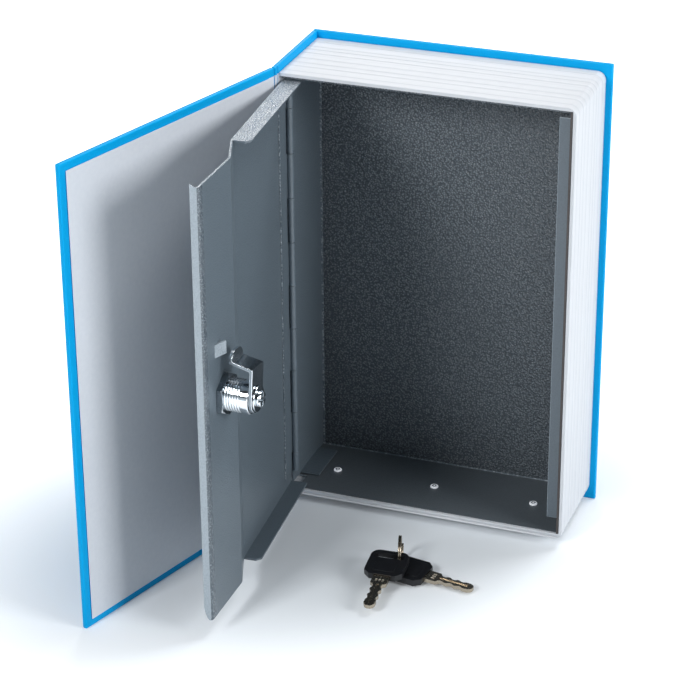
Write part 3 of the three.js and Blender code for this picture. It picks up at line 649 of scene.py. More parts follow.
def softened(node, name, radius_mm, *materials):
    piece = merged_copy(node, name, *materials)
    soften(piece, radius_mm)
    return piece


# %% [markdown]
# The mould of the page block has a thin groove along the sill, below the steel floor. Four cuts in the
# front face part off a narrow strip, and the strip is pushed in.

# %% Page block
SILL_GROOVE = (5.6 * MM, 6.2 * MM)
SILL_ENDS = (-70 * MM, 72.6 * MM)
SILL_GROOVE_DEPTH = 0.9 * MM
page_block = merged_copy("page_block_shell", "page_block", page_plastic)
soften(page_block, 0.5, 3, 50)


def faces_front(centre, normal):
    return normal.y < -0.99 and centre.y < BLOCK_FRONT + 0.1 * MM


with editing(page_block):
    for height in SILL_GROOVE:
        pick_faces(page_block, faces_front)
        bpy.ops.mesh.bisect(plane_co=(0, 0, height), plane_no=(0, 0, 1))
    for side in SILL_ENDS:
        pick_faces(
            page_block,
            lambda centre, normal: faces_front(centre, normal)
            and SILL_GROOVE[0] < centre.z < SILL_GROOVE[1],
        )
        bpy.ops.mesh.bisect(plane_co=(side, 0, 0), plane_no=(1, 0, 0))
    pick_faces(
        page_block,
        lambda centre, normal: faces_front(centre, normal)
        and SILL_GROOVE[0] < centre.z < SILL_GROOVE[1]
        and SILL_ENDS[0] < centre.x < SILL_ENDS[1],
    )
    bpy.ops.mesh.extrude_region_move(
        TRANSFORM_OT_translate={"value": (0, SILL_GROOVE_DEPTH, 0)}
    )
hand_over(page_block, "case", "page_plastic", "page_block_shell")

# %% [markdown]
# The box is folded from one sheet, so its inner corners are small rounds and its cut edges are blunt. The
# back wall carries the coarse coat and the other faces the fine one, as sprayed sheet does where the gun
# passes at a slant. Where the back wall meets the side wall and the floor, a thin strip of the back wall is
# painted lighter, as a painted highlight line along the corner. Two cuts part off those strips of the back
# wall. The cut edges at the front took hardly any powder and look brown.

# %% Cut the back wall
FOLD_MM = 0.3
BEAD = 0.9 * MM
side_wall = softened("hinge_side_wall", "side_wall_folded", FOLD_MM, fine_coat)
wall_face = max(
    (face for face in side_wall.data.polygons if face.normal.x > 0.99), key=lambda face: face.area
)
bead_edge = wall_face.center.x + BEAD
steel = softened("steel_box", "steel_box_folded", FOLD_MM, fine_coat, edge_highlight_coat)
low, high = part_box("steel_box")
upward = [face for face in steel.data.polygons if face.normal.z > 0.99]
inner_floor = max(
    (face for face in upward if face.center.z < low.z + 20 * MM), key=lambda face: face.area
)
fold_edge = inner_floor.center.z + 0.8 * BEAD
with editing(steel):
    for place, across in (((bead_edge, 0, 0), (1, 0, 0)), ((0, 0, fold_edge), (0, 0, 1))):
        pick_faces(steel, lambda centre, normal: normal.y < -0.99 and centre.y > BLOCK_FRONT / 2)
        bpy.ops.mesh.bisect(plane_co=place, plane_no=across)
print("beads at x", round(bead_edge / MM, 1), "and z", round(fold_edge / MM, 1), "mm")

# %% [markdown]
# The coats are then given out by the way each face looks and by where it lies. The strike is an angle
# welded to the wall across from the hinge. The lock's cam catches behind it.

# %% Paint the steel
CUT_EDGE_DEEP = 0.6 * MM
for coat in (coarse_coat, cut_edge, bead_highlight_coat, floor_coat):
    steel.data.materials.append(coat)
COARSE, CUT, BEAD_HIGHLIGHT, FLOOR = 2, 3, 4, 5
paint(steel, FLOOR, lambda centre, normal: normal.z > 0.9 and centre.z < low.z + 5 * MM)
paint(steel, COARSE, lambda centre, normal: abs(normal.y) > 0.95)
# the strips by the side wall and the floor get the light bead coat: a painted highlight line
paint(
    steel,
    BEAD_HIGHLIGHT,
    lambda centre, normal: normal.y < -0.99 and (centre.x < bead_edge or centre.z < fold_edge),
)
paint(steel, CUT, lambda centre, normal: normal.y < -0.3 and centre.y < BLOCK_FRONT + CUT_EDGE_DEEP)
hand_over(steel, "case", "grey_paint", "steel_box")
hand_over(side_wall, "case", "grey_paint", "hinge_side_wall")
hand_over(
    softened("strike_angle", "strike_folded", FOLD_MM, fine_coat, edge_highlight_coat),
    "case",
    "grey_paint",
    "strike_angle",
)

# %% [markdown]
# ## The door
# The door is one sheet, folded at the head and the foot, with a ramp down to the strip that carries the
# lock and a lip to pull at. The lip's top corner was left standing when the blank was cut, so it rises to a
# small peak. The door stands open, so places on it are found by swinging them shut. Places near the lock
# are found in the lock's own frame, which has its middle on the lock's axis and its Z along that axis.

# %% Door sheet and the peak of its lip
DOOR_OPEN = math.radians(85.8)
LIP_PEAK = 2 * MM
hinge = Vector(JOINTS["door_hinge"]["pos_m"]) * Vector((1, 1, 0))
lock_axis = Vector(JOINTS["lock_turn"]["axis"])
lock_centre = Vector(JOINTS["lock_turn"]["pos_m"])
UPWARD = Vector((0, 0, 1))
sideways = UPWARD.cross(lock_axis)
LOCK_FRAME = (
    Matrix.Translation(lock_centre)
    @ Matrix((sideways, UPWARD, lock_axis)).transposed().to_4x4()
)
LIP_FROM, LIP_OUT = hinge.x + 130 * MM, hinge.y - 2.9 * MM
door_sheet = merged_copy("door_panel", "door_sheet", fine_coat, bend_grain_and_highlight_coat, edge_highlight_coat, flange_highlight_coat)
shut = swing(hinge, -DOOR_OPEN)
top = max(v.co.z for v in door_sheet.data.vertices)
for vertex in door_sheet.data.vertices:
    closed = shut @ vertex.co
    if closed.x > LIP_FROM and closed.y < LIP_OUT and vertex.co.z > top - 0.5 * MM:
        vertex.co.z += LIP_PEAK
print("door is", round(top / MM, 1), "mm up to its head")

# %% [markdown]
# The paint is coarser on the bend before the lip, so one cut marks where that grain starts. The bend's coat
# is also lighter and the lip's face lighter still, as painted highlight. The rounds of the cut edges are
# painted near white as thin painted highlight lines, and the flange at the head is painted with bright
# glints. Above the lock a small tongue stands up from the strip and is painted paler, as a painted highlight.

# %% Paint the door
STRIP_FROM, BEND_START = hinge.x + 100 * MM, hinge.x + 133.8 * MM
TONGUE_HALF, TONGUE_LOW, TONGUE_HIGH = 10 * MM, 22 * MM, 29 * MM
turned = shut.to_3x3()
open_again = shut.inverted()
with editing(door_sheet):
    pick_faces(
        door_sheet,
        lambda centre, normal: (turned @ normal).y > 0.9 and (shut @ centre).x > STRIP_FROM,
    )
    bpy.ops.mesh.bisect(
        plane_co=open_again @ Vector((BEND_START, hinge.y, 0)),
        plane_no=open_again.to_3x3() @ Vector((1, 0, 0)),
    )


def on_bend(centre, normal):
    """Whether a face of the open door lies past the start of the lip's bend, on the inner side."""
    return (shut @ centre).x > BEND_START and (turned @ normal).y > 0.1


BENT, EDGE_HIGHLIGHT, FLANGE_HIGHLIGHT = 1, 2, 3
paint(door_sheet, BENT, on_bend)
# the flange's top faces get the near-white coat: painted glints
paint(door_sheet, FLANGE_HIGHLIGHT, lambda centre, normal: normal.z > 0.9 and centre.z > 0.9 * top)
# the lip's face gets the light edge coat: painted highlight
paint(
    door_sheet,
    EDGE_HIGHLIGHT,
    lambda centre, normal: on_bend(centre, normal) and (turned @ normal).x > 0.85,
)
to_lock = LOCK_FRAME.inverted()


def on_tongue(place):
    """Whether a place beside the lock is on the tongue, which stands up from the strip above it."""
    beside = abs(place.x) < TONGUE_HALF and TONGUE_LOW < place.y < TONGUE_HIGH
    return beside and place.z > 0.1 * MM


# the tongue gets the light edge coat: painted highlight
paint(door_sheet, EDGE_HIGHLIGHT, lambda centre, normal: on_tongue(to_lock @ centre))
soften(door_sheet, 0.25)
hand_over(door_sheet, "door", "grey_paint", "door_panel")

# %% [markdown]
# The piano hinge has two leaves with rolled knuckles, and a bright pin through them. Its leaves are painted
# with the sheets they are welded to. A strip along the free end of the door's leaf is painted lighter, as a
# painted highlight line.

# %% Piano hinge
LEAF_EDGE_MM, LEAF_HIGHLIGHT = 0.2, 0.3 * MM
door_leaf = softened("door_hinge_leaf", "door_leaf", LEAF_EDGE_MM, fine_coat, edge_highlight_coat)
door_leaf.data.materials.append(bead_highlight_coat)
leaf_end = max((shut @ v.co).x for v in door_leaf.data.vertices)
paint(door_leaf, 2, lambda centre, normal: (shut @ centre).x > leaf_end - LEAF_HIGHLIGHT)
hand_over(door_leaf, "door", "grey_paint", "door_hinge_leaf")
case_leaf = softened("frame_hinge_leaf", "case_leaf", LEAF_EDGE_MM, fine_coat, edge_highlight_coat)
hand_over(case_leaf, "case", "grey_paint", "frame_hinge_leaf")
hand_over(softened("hinge_pin", "pin", 0.15, nickel), "case", "nickel", "hinge_pin")

# %% [markdown]
# ## The lock
# The housing is a threaded barrel with a round head. Its outline is drawn as one line, by moving out from
# a single point, and spun about the lock's axis. Each thread crest is a small flat with sloping sides. Six
# rounds of thread show past the nut, and the end of the barrel is left plain, as a die leaves it.


# %% Drawn lines and turned solids
def drawn_line(name, points):
    """A plane merged to one point, then extruded from point to point."""
    bpy.ops.object.select_all(action="DESELECT")
    bpy.ops.mesh.primitive_plane_add(size=MM, location=points[0])
    piece = bpy.context.object
    piece.name = name
    apply_place(piece)
    take(piece)
    bpy.ops.object.mode_set(mode="EDIT")
    bpy.ops.mesh.select_mode(type="VERT")
    bpy.ops.mesh.select_all(action="SELECT")
    bpy.ops.mesh.merge(type="CENTER")
    for start, end in zip(points, points[1:]):
        bpy.ops.mesh.extrude_region_move(TRANSFORM_OT_translate={"value": end - start})
    bpy.ops.object.mode_set(mode="OBJECT")
    return piece


def spun(name, outline, steps):
    """A solid of revolution about Z, from radius and height pairs that start and end on one ring."""
    piece = drawn_line(name, [Vector((radius, 0, height)) for radius, height in outline])
    take(piece)
    bpy.ops.object.mode_set(mode="EDIT")
    bpy.ops.mesh.select_all(action="SELECT")
    bpy.ops.mesh.spin(steps=steps, angle=2 * math.pi, center=(0, 0, 0), axis=(0, 0, 1))
    bpy.ops.mesh.select_all(action="SELECT")
    bpy.ops.mesh.remove_doubles(threshold=0.002 * MM)
    bpy.ops.mesh.normals_make_consistent(inside=False)
    bpy.ops.object.mode_set(mode="OBJECT")
    return piece


# %% [markdown]
# The outline's points are pairs of radius and height. They run from the bore at the front, round the head,
# down the barrel with its threads, and back up the bore to where they began.

# %% Draw and spin the housing
BARREL, BORE, HEAD = 8 * MM, 5.45 * MM, 9.6 * MM
HEAD_FRONT, HEAD_BACK = -5.15 * MM, -1.15 * MM
THREAD_START, THREAD_PITCH, THREAD_DEPTH, THREADS = 3.2 * MM, 1.3 * MM, 0.5 * MM, 6
BARREL_END = 14.6 * MM
outline = [
    (BORE, HEAD_FRONT + 0.4 * MM),
    (BORE + 0.4 * MM, HEAD_FRONT),
    (HEAD - 1.2 * MM, HEAD_FRONT),
    (HEAD - 0.4 * MM, HEAD_FRONT + 0.3 * MM),
    (HEAD, HEAD_FRONT + 1.1 * MM),
    (HEAD, HEAD_BACK - 0.2 * MM),
    (HEAD - 0.2 * MM, HEAD_BACK),
    (BARREL, HEAD_BACK),
    (BARREL, THREAD_START),
]
for turn in range(THREADS):
    start = THREAD_START + turn * THREAD_PITCH
    outline += [
        (BARREL - THREAD_DEPTH, start + 0.4 * THREAD_PITCH),
        (BARREL - THREAD_DEPTH, start + 0.55 * THREAD_PITCH),
        (BARREL, start + 0.88 * THREAD_PITCH),
        (BARREL, start + THREAD_PITCH),
    ]
outline += [
    (BARREL, BARREL_END - 0.4 * MM),
    (BARREL - 0.4 * MM, BARREL_END),
    (BORE, BARREL_END),
    (BORE, HEAD_FRONT + 0.4 * MM),
]
housing = spun("threaded_housing", outline, 96)
dress(housing, chrome)
housing.data.transform(LOCK_FRAME)
smooth(housing, 30)
hand_over(housing, "door", "chrome", "lock_housing")

# %% [markdown]
# The cam is a strip of steel cranked twice, with a round end at the plug and a rounded tip. Its side is
# drawn as a closed line, filled and given the strip's width. The corners of both ends are then rounded,
# and a square bar cut out of it leaves the hole for the plug. Its sides were sheared and then plated, so
# they are duller than its polished faces.


# %% Fill, cut and round
def filled(piece, thickness):
    """Closes a drawn line, fills it and extrudes it by a vector into a solid."""
    with editing(piece):
        bpy.ops.mesh.select_all(action="SELECT")
        bpy.ops.mesh.edge_face_add()
        bpy.ops.mesh.extrude_region_move(TRANSFORM_OT_translate={"value": thickness})
        bpy.ops.mesh.select_all(action="SELECT")
        bpy.ops.mesh.normals_make_consistent(inside=False)


def cut_out(piece, cutter):
    """Takes a second solid away from a piece."""
    finish_with(piece, "BOOLEAN", object=cutter, operation="DIFFERENCE", solver="EXACT")
    bpy.data.objects.remove(cutter)


def round_corners(piece, width, segments, wanted):
    with editing(piece):
        pick_edges(piece, wanted)
        bpy.ops.mesh.bevel(offset=width, segments=segments, affect="EDGES")


# %% [markdown]
# The cam's side is drawn from the pairs below and made as wide as the strip. It leans a little to the side
# when the lock is open.

# %% Shape the cam
CAM_HALF, CAM_REACH, CAM_TIP_ROUND = 7 * MM, 22.8 * MM, 5 * MM
CAM_SQUARE = 3.5 * MM
CAM_LEAN = math.radians(-8)
# the strip's side, as millimetres along it and out from the door
CAM_SIDE = [
    (-7, 14.9),
    (14.5, 14.9),
    (17.1, 4.5),
    (22.8, 4.5),
    (22.8, 6),
    (18.2, 6),
    (15.7, 16.4),
    (-7, 16.4),
]
cam = drawn_line("cam", [Vector((-CAM_HALF, y * MM, z * MM)) for y, z in CAM_SIDE])
filled(cam, Vector((2 * CAM_HALF, 0, 0)))


def through_plate(start, end, height):
    """Whether an edge runs through the plate's thickness at that height."""
    at_height = abs(start.y - height) < 0.1 * MM and abs(end.y - height) < 0.1 * MM
    return at_height and abs(start.z - end.z) > 1 * MM


round_corners(cam, 0.98 * CAM_HALF, 10, lambda start, end: through_plate(start, end, -CAM_HALF))
round_corners(cam, CAM_TIP_ROUND, 8, lambda start, end: through_plate(start, end, CAM_REACH))
square = Vector((CAM_SQUARE, CAM_SQUARE, 0))
cut_out(
    cam, box_piece("square_bar", Vector((0, 0, 10 * MM)) - square, Vector((0, 0, 20 * MM)) + square)
)
dress(cam, chrome, sheared_edge_and_nut_shade, chrome)
paint(
    cam, 1, lambda centre, normal: abs(normal.x) > 0.9 and abs(centre.x) > CAM_SQUARE + 0.1 * MM
)
cam.data.transform(LOCK_FRAME @ Matrix.Rotation(CAM_LEAN, 4, "Z"))
soften(cam, 0.3, 3)
hand_over(cam, "lock_core", "chrome", "lock_cam")

# %% [markdown]
# The nut, the plug, the washer and the screw are small stampings and turnings. Their CAD shape is right
# but for the nut, which is a millimetre thinner, and plating leaves their edges slightly round.

# %% Small lock parts
NUT_THINNER = 1 * MM
nut = merged_copy("lock_nut", "hexagon_nut", sheared_edge_and_nut_shade, chrome)
for vertex in nut.data.vertices:
    if (to_lock @ vertex.co).z > 2 * MM:
        vertex.co -= lock_axis * NUT_THINNER
# the nut's sides keep the dull metal as painted shade; faces along the axis are chrome
paint(nut, 1, lambda centre, normal: normal.dot(lock_axis) > 0.3)
soften(nut, 0.35)
hand_over(nut, "door", "chrome", "lock_nut")
for node, name, body, radius in (
    ("lock_plug", "plug", "lock_core", 0.12),
    ("cam_washer", "washer", "lock_core", 0.15),
    ("cam_screw", "cross_screw", "lock_core", 0.18),
):
    hand_over(softened(node, name, radius, chrome), body, "chrome", node)
for number in range(1, 6):
    node = f"lock_wafer_{number}"
    hand_over(softened(node, f"wafer_{number}", 0.08, brass), "lock_core", "wafer_brass", node)

# %% [markdown]
# ## Rivets
# Six white heads hold the box to the page block. One is modelled as a low button with a ring pressed into
# it, and the others are copies, three of them turned over for the ceiling. The ring is painted darker, as
# painted shade.

# %% Rivets
RIVET_SECTION = [
    (0.01, -2.6),
    (1.2, -2.6),
    (1.2, 0),
    (2.1, 0),
    (2.1, 0.25),
    (1.95, 0.55),
    (1.5, 0.7),
    (1.2, 0.7),
    (1.05, 0.4),
    (0.7, 0.4),
    (0.55, 0.6),
    (0.01, 0.64),
]
RIVET_HEAD = 0.7 * MM
rivet = spun("rivet", [(r * MM, h * MM) for r, h in RIVET_SECTION], 32)
finish_with(rivet, "WELD", merge_threshold=0.03 * MM)
dress(rivet, white_nylon_with_painted_glow, painted_hollow_shade)
# the pressed ring gets the grey plastic: painted shade
paint(
    rivet,
    1,
    lambda centre, normal: centre.xy.length < 1.15 * MM and 0 < centre.z < 0.58 * MM,
)
smooth(rivet, 40)
for number in range(1, 4):
    for row, flip in (("floor", 0), ("ceiling", math.pi)):
        node = f"{row}_rivet_{number}"
        low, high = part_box(node)
        seat = high.z - RIVET_HEAD if row == "floor" else low.z + RIVET_HEAD
        place = Vector(((low.x + high.x) / 2, (low.y + high.y) / 2, seat))
        copy = bpy.data.objects.new(f"{row}_rivet_head_{number}", rivet.data.copy())
        bpy.context.scene.collection.objects.link(copy)
        copy.data.transform(Matrix.Translation(place) @ Matrix.Rotation(flip, 4, "X"))
        hand_over(copy, "case", "rivet_white", node)
bpy.data.objects.remove(rivet)

# %% [markdown]
# ## Key bows
# Both keys are alike, so each step is written once and used twice. A key is built lying flat along X, with
# the middle of its ring slot at the origin, and then laid down where it rests. The bow is a slab with round
# corners at the ring's end and cut corners at the blade's. A border stands up round each face, and a framed
# pad sits in the middle of it.

# %% Where the keys lie
BLOCK_CORNER = Vector((-74.25 * MM, -54.6 * MM, 0))
BOW_START, BOW_END, BOW_HALF, BOW_THICK = -4 * MM, 16.4 * MM, 9.75 * MM, 3.4 * MM
BOW_ROUND, BOW_CHAMFER = 4.4 * MM, 3 * MM
SLOT_HALF, SLOT_WIDE = 7.6 * MM, 1.7 * MM
BORDER, BORDER_HEIGHT = 1.1 * MM, 0.35 * MM
PAD_START, PAD_END, PAD_HALF, PAD_HEIGHT = 5.4 * MM, 13 * MM, 5.6 * MM, 0.3 * MM
BLADE_THICK, TANG, SHOULDER_HALF = 2 * MM, 5 * MM, 4.1 * MM
FIT = 0.15 * MM


def key_frame(x, y, lift, heading, slope):
    """Where a key lies, from millimetres beside the block's front corner and two angles in degrees."""
    return (
        Matrix.Translation(BLOCK_CORNER + Vector((x, y, lift)) * MM)
        @ Matrix.Rotation(math.radians(heading), 4, "Z")
        @ Matrix.Rotation(math.radians(slope), 4, "Y")
    )


# number: (place, how far the blade's line lies beside the ring)
KEYS = {
    1: (key_frame(79.2, -51, 6.7, -86, 4.6), 4.4 * MM),
    2: (key_frame(78.5, -47.4, 1.8, -7.3, 2), 3.2 * MM),
}
print("there are", len(KEYS), "keys")

# %% [markdown]
# A bow starts as a slab. Its upright corners are rounded or cut, and its faces are inset to leave the
# border. Only then are the slot for the ring and the pocket for the blade cut out, because an inset over a
# finished slot would follow the slot's rim. The pads come last.


# %% Build the bows
def upright_at(start, end, x):
    """Whether an edge stands upright at that place along the key."""
    upright = abs(start.z - end.z) > 1 * MM
    return upright and abs(start.x - x) < 0.1 * MM and abs(end.x - x) < 0.1 * MM


def key_bow(number, middle):
    bow = box_piece(
        f"bow_{number}",
        Vector((BOW_START, middle - BOW_HALF, 0)),
        Vector((BOW_END, middle + BOW_HALF, BOW_THICK)),
    )
    round_corners(bow, BOW_ROUND, 8, lambda start, end: upright_at(start, end, BOW_START))
    round_corners(bow, BOW_CHAMFER, 1, lambda start, end: upright_at(start, end, BOW_END))
    with editing(bow):
        pick_faces(bow, lambda centre, normal: abs(normal.z) > 0.999)
        bpy.ops.mesh.inset(thickness=BORDER, depth=-BORDER_HEIGHT)
    slot = box_piece(
        "slot",
        Vector((-SLOT_WIDE, middle - SLOT_HALF, -1 * MM)),
        Vector((SLOT_WIDE, middle + SLOT_HALF, BOW_THICK + 1 * MM)),
    )
    round_corners(slot, 0.9 * SLOT_WIDE, 5, lambda start, end: abs(start.z - end.z) > 1 * MM)
    cut_out(bow, slot)
    pocket = Vector((0, SHOULDER_HALF + FIT, BLADE_THICK / 2 + FIT))
    level = Vector((0, middle, BOW_THICK / 2))
    tang = Vector((BOW_END - TANG - FIT, 0, 0)) + level - pocket
    cut_out(bow, box_piece("pocket", tang, Vector((BOW_END + 1 * MM, 0, 0)) + level + pocket))
    pads = []
    for height in (BORDER_HEIGHT - PAD_HEIGHT, BOW_THICK - BORDER_HEIGHT - PAD_HEIGHT):
        pad = box_piece(
            "pad",
            Vector((PAD_START, middle - PAD_HALF, height)),
            Vector((PAD_END, middle + PAD_HALF, height + 2 * PAD_HEIGHT)),
        )
        round_corners(pad, 1 * MM, 4, lambda start, end: abs(start.z - end.z) > 0.3 * MM)
        with editing(pad):
            pick_faces(pad, lambda centre, normal: abs(normal.z) > 0.999)
            bpy.ops.mesh.inset(thickness=0.6 * MM, depth=-0.15 * MM)
        pads.append(pad)
    take(bow)
    for pad in pads:
        pad.select_set(True)
    bpy.ops.object.join()
    dress(bow, black_nylon)
    soften(bow, 0.25, 2, 40)
    return bow


for number, (laid, beside) in KEYS.items():
    bow = key_bow(number, -beside)
    bow.data.transform(laid)
    hand_over(bow, f"key_{number}", "black_plastic", f"key_{number}_bow")

# %% [markdown]
# ## Key blades
# A blade is stamped from strip, so its outline is drawn as one closed line, filled and given the strip's
# thickness. It has a broad shoulder, cuts along both edges and a rounded tip. A narrow groove is milled
# into each face, and three plain marks are struck into the shoulder.

# %% Measures of a blade
BLADE_HALF, SHOULDER_END, BLADE_END = 2.9 * MM, 23.4 * MM, 41.4 * MM
# shares of the cut length, and the half widths there
CUTS = [
    (0, 1),
    (0.05, 0.72),
    (0.13, 0.72),
    (0.2, 1),
    (0.26, 1),
    (0.33, 0.66),
    (0.41, 0.66),
    (0.48, 0.96),
    (0.53, 0.96),
    (0.6, 0.74),
    (0.67, 0.74),
    (0.74, 0.98),
    (0.88, 0.96),
    (0.96, 0.7),
    (1, 0.32),
]
GROOVE_HALF_WIDTH, GROOVE_DEPTH, GROOVE_STOP = 0.6 * MM, 0.4 * MM, 3 * MM
MARK_HALF = Vector((0.9 * MM, 0.45 * MM, 0.2 * MM))
MARK_PITCH = 1.7 * MM
MARKS_AT = 20.2 * MM
print("blade is", round((BLADE_END - BOW_END) / MM, 1), "mm long outside the bow")

# %% [markdown]
# One function makes a blade on the line that lies beside the ring's middle, and each key's own place then
# carries it to where its bow lies.


# %% Build the blades
def key_blade(number, middle):
    low = BOW_THICK / 2 - BLADE_THICK / 2
    span = BLADE_END - SHOULDER_END
    upper = [(BOW_END - TANG, SHOULDER_HALF), (SHOULDER_END - 0.8 * MM, SHOULDER_HALF)]
    upper += [(SHOULDER_END + share * span, half * BLADE_HALF) for share, half in CUTS]
    lower = [(x, -y) for x, y in reversed(upper)]
    blade = drawn_line(
        f"blade_{number}", [Vector((x, middle + y, low)) for x, y in upper + lower]
    )
    filled(blade, Vector((0, 0, BLADE_THICK)))
    for face in (low, low + BLADE_THICK):
        groove = Vector((0, GROOVE_HALF_WIDTH, GROOVE_DEPTH))
        line = Vector((0, middle, face))
        cut_out(
            blade,
            box_piece(
                "groove",
                Vector((SHOULDER_END, 0, 0)) + line - groove,
                Vector((BLADE_END - GROOVE_STOP, 0, 0)) + line + groove,
            ),
        )
    dress(blade, nickel, bright_nickel)
    for place in (-1, 0, 1):
        mark = Vector((MARKS_AT, middle + place * MARK_PITCH, low + BLADE_THICK))
        cut_out(blade, box_piece("mark", mark - MARK_HALF, mark + MARK_HALF))
    paint(
        blade,
        1,
        lambda centre, normal: abs(centre.x - MARKS_AT) <= MARK_HALF.x + 0.01 * MM
        and abs(centre.z - low - BLADE_THICK + MARK_HALF.z) <= MARK_HALF.z - 0.01 * MM
        and abs(centre.y - middle) < SHOULDER_HALF - 0.1 * MM,
    )
    finish_with(
        blade,
        "BEVEL",
        width=0.12 * MM,
        segments=2,
        limit_method="ANGLE",
        angle_limit=math.radians(35),
    )
    smooth(blade)
    return blade


for number, (laid, beside) in KEYS.items():
    blade = key_blade(number, -beside)
    blade.data.transform(laid)
    hand_over(blade, f"key_{number}", "nickel", f"key_{number}_blade")

# %% [markdown]
# The split ring is a flat wire wound twice. A small flattened circle is set at the ring's radius and turned
# about the ring's axis by a screw modifier, which also carries it sideways by one wire for each turn.

# %% Split ring
RING_RADIUS = 7.4 * MM
WIRE_HIGH, WIRE_WIDE = 1.3 * MM, 0.86 * MM
RING_TURN = math.radians(15.5)
low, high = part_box("key_ring")
bpy.ops.object.select_all(action="DESELECT")
bpy.ops.mesh.primitive_circle_add(
    vertices=12,
    radius=WIRE_HIGH / 2,
    location=(RING_RADIUS, 0, -WIRE_WIDE),
    rotation=(math.pi / 2, 0, 0),
)
ring = bpy.context.object
ring.name = "split_ring"
ring.scale = (1, WIRE_WIDE / WIRE_HIGH, 1)
apply_place(ring)
finish_with(
    ring,
    "SCREW",
    axis="Z",
    angle=2 * math.pi,
    screw_offset=WIRE_WIDE,
    iterations=2,
    steps=56,
    render_steps=56,
)
with editing(ring):
    bpy.ops.mesh.select_mode(type="EDGE")
    bpy.ops.mesh.select_non_manifold()
    bpy.ops.mesh.edge_face_add()
    bpy.ops.mesh.select_all(action="SELECT")
    bpy.ops.mesh.normals_make_consistent(inside=False)
ring_axis = Vector((math.cos(RING_TURN), math.sin(RING_TURN), 0))
ring_side = UPWARD.cross(ring_axis)
ring.data.transform(
    Matrix.Translation((low + high) / 2)
    @ Matrix((ring_side, UPWARD, ring_axis)).transposed().to_4x4()
)
dress(ring, nickel)
smooth(ring, 50)
hand_over(ring, "key_ring", "nickel", "key_ring")

# %% [markdown]
# ## Floor
# The object stands on a plain white surface. It keeps a soft shadow. Seen by the camera or in a reflection
# it glows, which lifts the bare floor to white and leaves the light on the object alone. Close to the
# object the glow is weak, and that paints a shadow on the floor, deeper than the one the lamps cast. The
# glow grows with the distance from the middle of an ellipse that lies along the open cover, so the painted
# shadow has the shape of that ellipse.
# The first cell makes a number that is 1 where such a ray meets the floor, and 0 where the floor lights
# the object.

# %% White floor, and which rays see it glow
FLOOR_SIDE = 8
bpy.ops.object.select_all(action="DESELECT")
bpy.ops.mesh.primitive_plane_add(size=FLOOR_SIDE)
floor = bpy.context.object
floor.name = "floor"
surface = bpy.data.materials.new("white_surface")
surface.use_nodes = True
tree = surface.node_tree
tree.nodes.clear()
rays = add(tree, "ShaderNodeLightPath")
seen = add(tree, "ShaderNodeMath", {"operation": "ADD"})
tree.links.new(rays.outputs["Is Camera Ray"], seen.inputs[0])
tree.links.new(rays.outputs["Is Glossy Ray"], seen.inputs[1])
seen_or_through = add(tree, "ShaderNodeMath", {"operation": "ADD", "use_clamp": True})
tree.links.new(seen.outputs[0], seen_or_through.inputs[0])
tree.links.new(rays.outputs["Is Transmission Ray"], seen_or_through.inputs[1])
print("floor is", FLOOR_SIDE, "m wide")

# %% [markdown]
# The ellipse comes from a mapping that turns and stretches the floor's own coordinates, so that the
# distance from the middle is 1 all along it. A ramp turns that distance into the strength of the glow.

# %% Glow round the object
# how strong the glow is at shares of the ellipse
FLOOR_GLOWS = ((0.33, 0.05), (0.5, 0.18), (0.7, 0.5), (1, 1))
SHADOW_MIDDLE = (-0.05, -0.08, 0)
SHADOW_TURN = math.radians(36.6)
SHADOW_REACH = (0.3, 0.195, 1)
place = add(tree, "ShaderNodeTexCoord")
ellipse = add(
    tree,
    "ShaderNodeMapping",
    {"vector_type": "TEXTURE"},
    Vector=(place, "Object"),
    Location=SHADOW_MIDDLE,
    Rotation=(0, 0, SHADOW_TURN),
    Scale=SHADOW_REACH,
)
away = add(tree, "ShaderNodeVectorMath", {"operation": "LENGTH"}, Vector=(ellipse, "Vector"))
# a weak glow near the ellipse's middle paints a shadow on the floor round the object
painted_shadow_fade = add(tree, "ShaderNodeValToRGB", Fac=(away, "Value"))
painted_shadow_fade.color_ramp.interpolation = "B_SPLINE"
for share, strength in FLOOR_GLOWS[2:]:
    painted_shadow_fade.color_ramp.elements.new(share)
for stop, (share, strength) in zip(painted_shadow_fade.color_ramp.elements, FLOOR_GLOWS):
    stop.position = share
    stop.color = (strength, strength, strength, 1)
glow = add(tree, "ShaderNodeMath", {"operation": "MULTIPLY"})
tree.links.new(seen_or_through.outputs[0], glow.inputs[0])
tree.links.new(painted_shadow_fade.outputs["Color"], glow.inputs[1])
matt = add(tree, "ShaderNodeBsdfDiffuse", Color=colour("E3E9EE"))
light = add(tree, "ShaderNodeEmission", Strength=(glow, "Value"))
both = add(tree, "ShaderNodeAddShader")
tree.links.new(matt.outputs[0], both.inputs[0])
tree.links.new(light.outputs[0], both.inputs[1])
output = add(tree, "ShaderNodeOutputMaterial", Surface=(both, "Shader"))
floor.data.materials.append(surface)
print("glow reaches white", SHADOW_REACH[0], "m from the middle")

# %% [markdown]
# ## Light
# Four square lamps stand round the book. One low behind it lights the edges from the back. The brightest on
# surfaces that face up is above it, a little behind, and throws the soft shadow forward. The third stands
# to the right, low down, and throws the door's shadow on the cover. The fourth, in front and to the left,
# lights the box's back wall and the boards' front edges.


# %% Lamps
def soft_lamp(name, aim, towards, distance, side, power):
    """A square lamp that shines on a point from the given direction and distance."""
    direction = Vector(towards).normalized()
    bpy.ops.object.select_all(action="DESELECT")
    bpy.ops.object.light_add(type="AREA", location=Vector(aim) + distance * direction)
    lamp = bpy.context.object
    lamp.name = name
    lamp.data.shape = "SQUARE"
    lamp.data.size = side
    lamp.data.energy = power
    lamp.rotation_euler = direction.to_track_quat("Z", "Y").to_euler()
    print(name, power, "W")


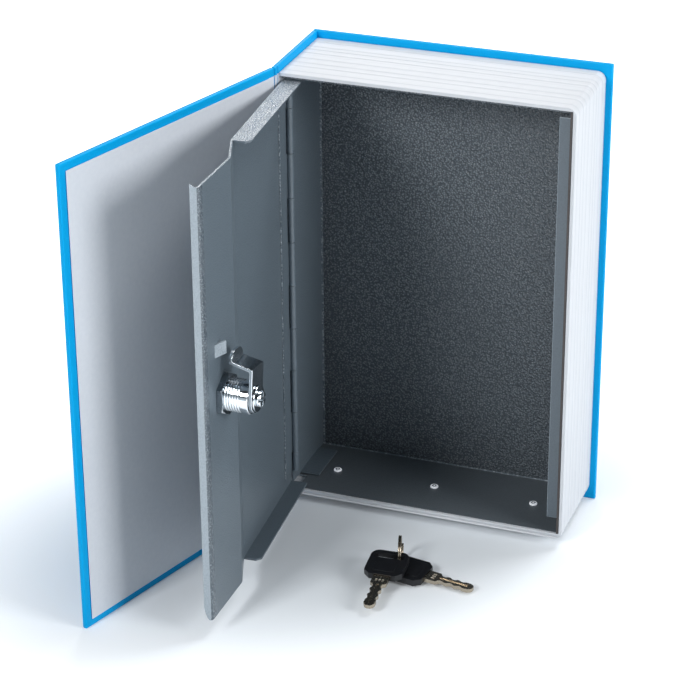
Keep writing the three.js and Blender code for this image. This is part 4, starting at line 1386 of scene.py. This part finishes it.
soft_lamp("back_lamp", (0, -0.05, 0.2), (-0.3, 0.82, 0.47), 1.5, 0.36, 4.6)
soft_lamp("top_lamp", (0, -0.05, 0.1), (0.28, 0.38, 0.87), 1.5, 0.55, 9.8)
soft_lamp("right_lamp", (-0.1, -0.12, 0.15), (0.93, -0.16, 0.33), 1.5, 0.55, 11.3)
soft_lamp("front_lamp", (0, -0.05, 0.15), (-0.3, -0.8, 0.5), 1.6, 0.4, 12)

# %% [markdown]
# An even, slightly blue sky does the rest. Polished metal needs something to mirror, so in reflections the
# sky has pale and dark bands, as a studio has. The camera sees it white.

# %% Sky
SKY = 0.19
# how high up a direction points, and how bright the sky is there in a reflection
SKY_BANDS = ((0, 0.7), (1, 0.25), (0.16, 0.6), (0.3, 0.06), (0.8, 0.03))
world = bpy.data.worlds.new("pale_sky")
bpy.context.scene.world = world
world.use_nodes = True
tree = world.node_tree
tree.nodes.clear()
rays = add(tree, "ShaderNodeLightPath")
even = add(tree, "ShaderNodeBackground", Color=(0.86, 0.94, 1, 1), Strength=SKY)
place = add(tree, "ShaderNodeTexCoord")
axes = add(tree, "ShaderNodeSeparateXYZ", Vector=(place, "Generated"))
bands = add(tree, "ShaderNodeValToRGB", Fac=(axes, "Z"))
for share, strength in SKY_BANDS[2:]:
    bands.color_ramp.elements.new(share)
for stop, (share, strength) in zip(bands.color_ramp.elements, sorted(SKY_BANDS)):
    stop.position = share
    stop.color = (0.85 * strength, 0.94 * strength, strength, 1)
mirrored = add(tree, "ShaderNodeBackground", Color=(bands, "Color"), Strength=1)
white = add(tree, "ShaderNodeBackground", Color=(1, 1, 1, 1), Strength=1)
unlit = add(tree, "ShaderNodeMixShader", Fac=(rays, "Is Glossy Ray"))
tree.links.new(even.outputs[0], unlit.inputs[1])
tree.links.new(mirrored.outputs[0], unlit.inputs[2])
choice = add(tree, "ShaderNodeMixShader", Fac=(rays, "Is Camera Ray"))
tree.links.new(unlit.outputs[0], choice.inputs[1])
tree.links.new(white.outputs[0], choice.inputs[2])
add(tree, "ShaderNodeOutputWorld", Surface=(choice, "Shader"))
print("sky strength", SKY)
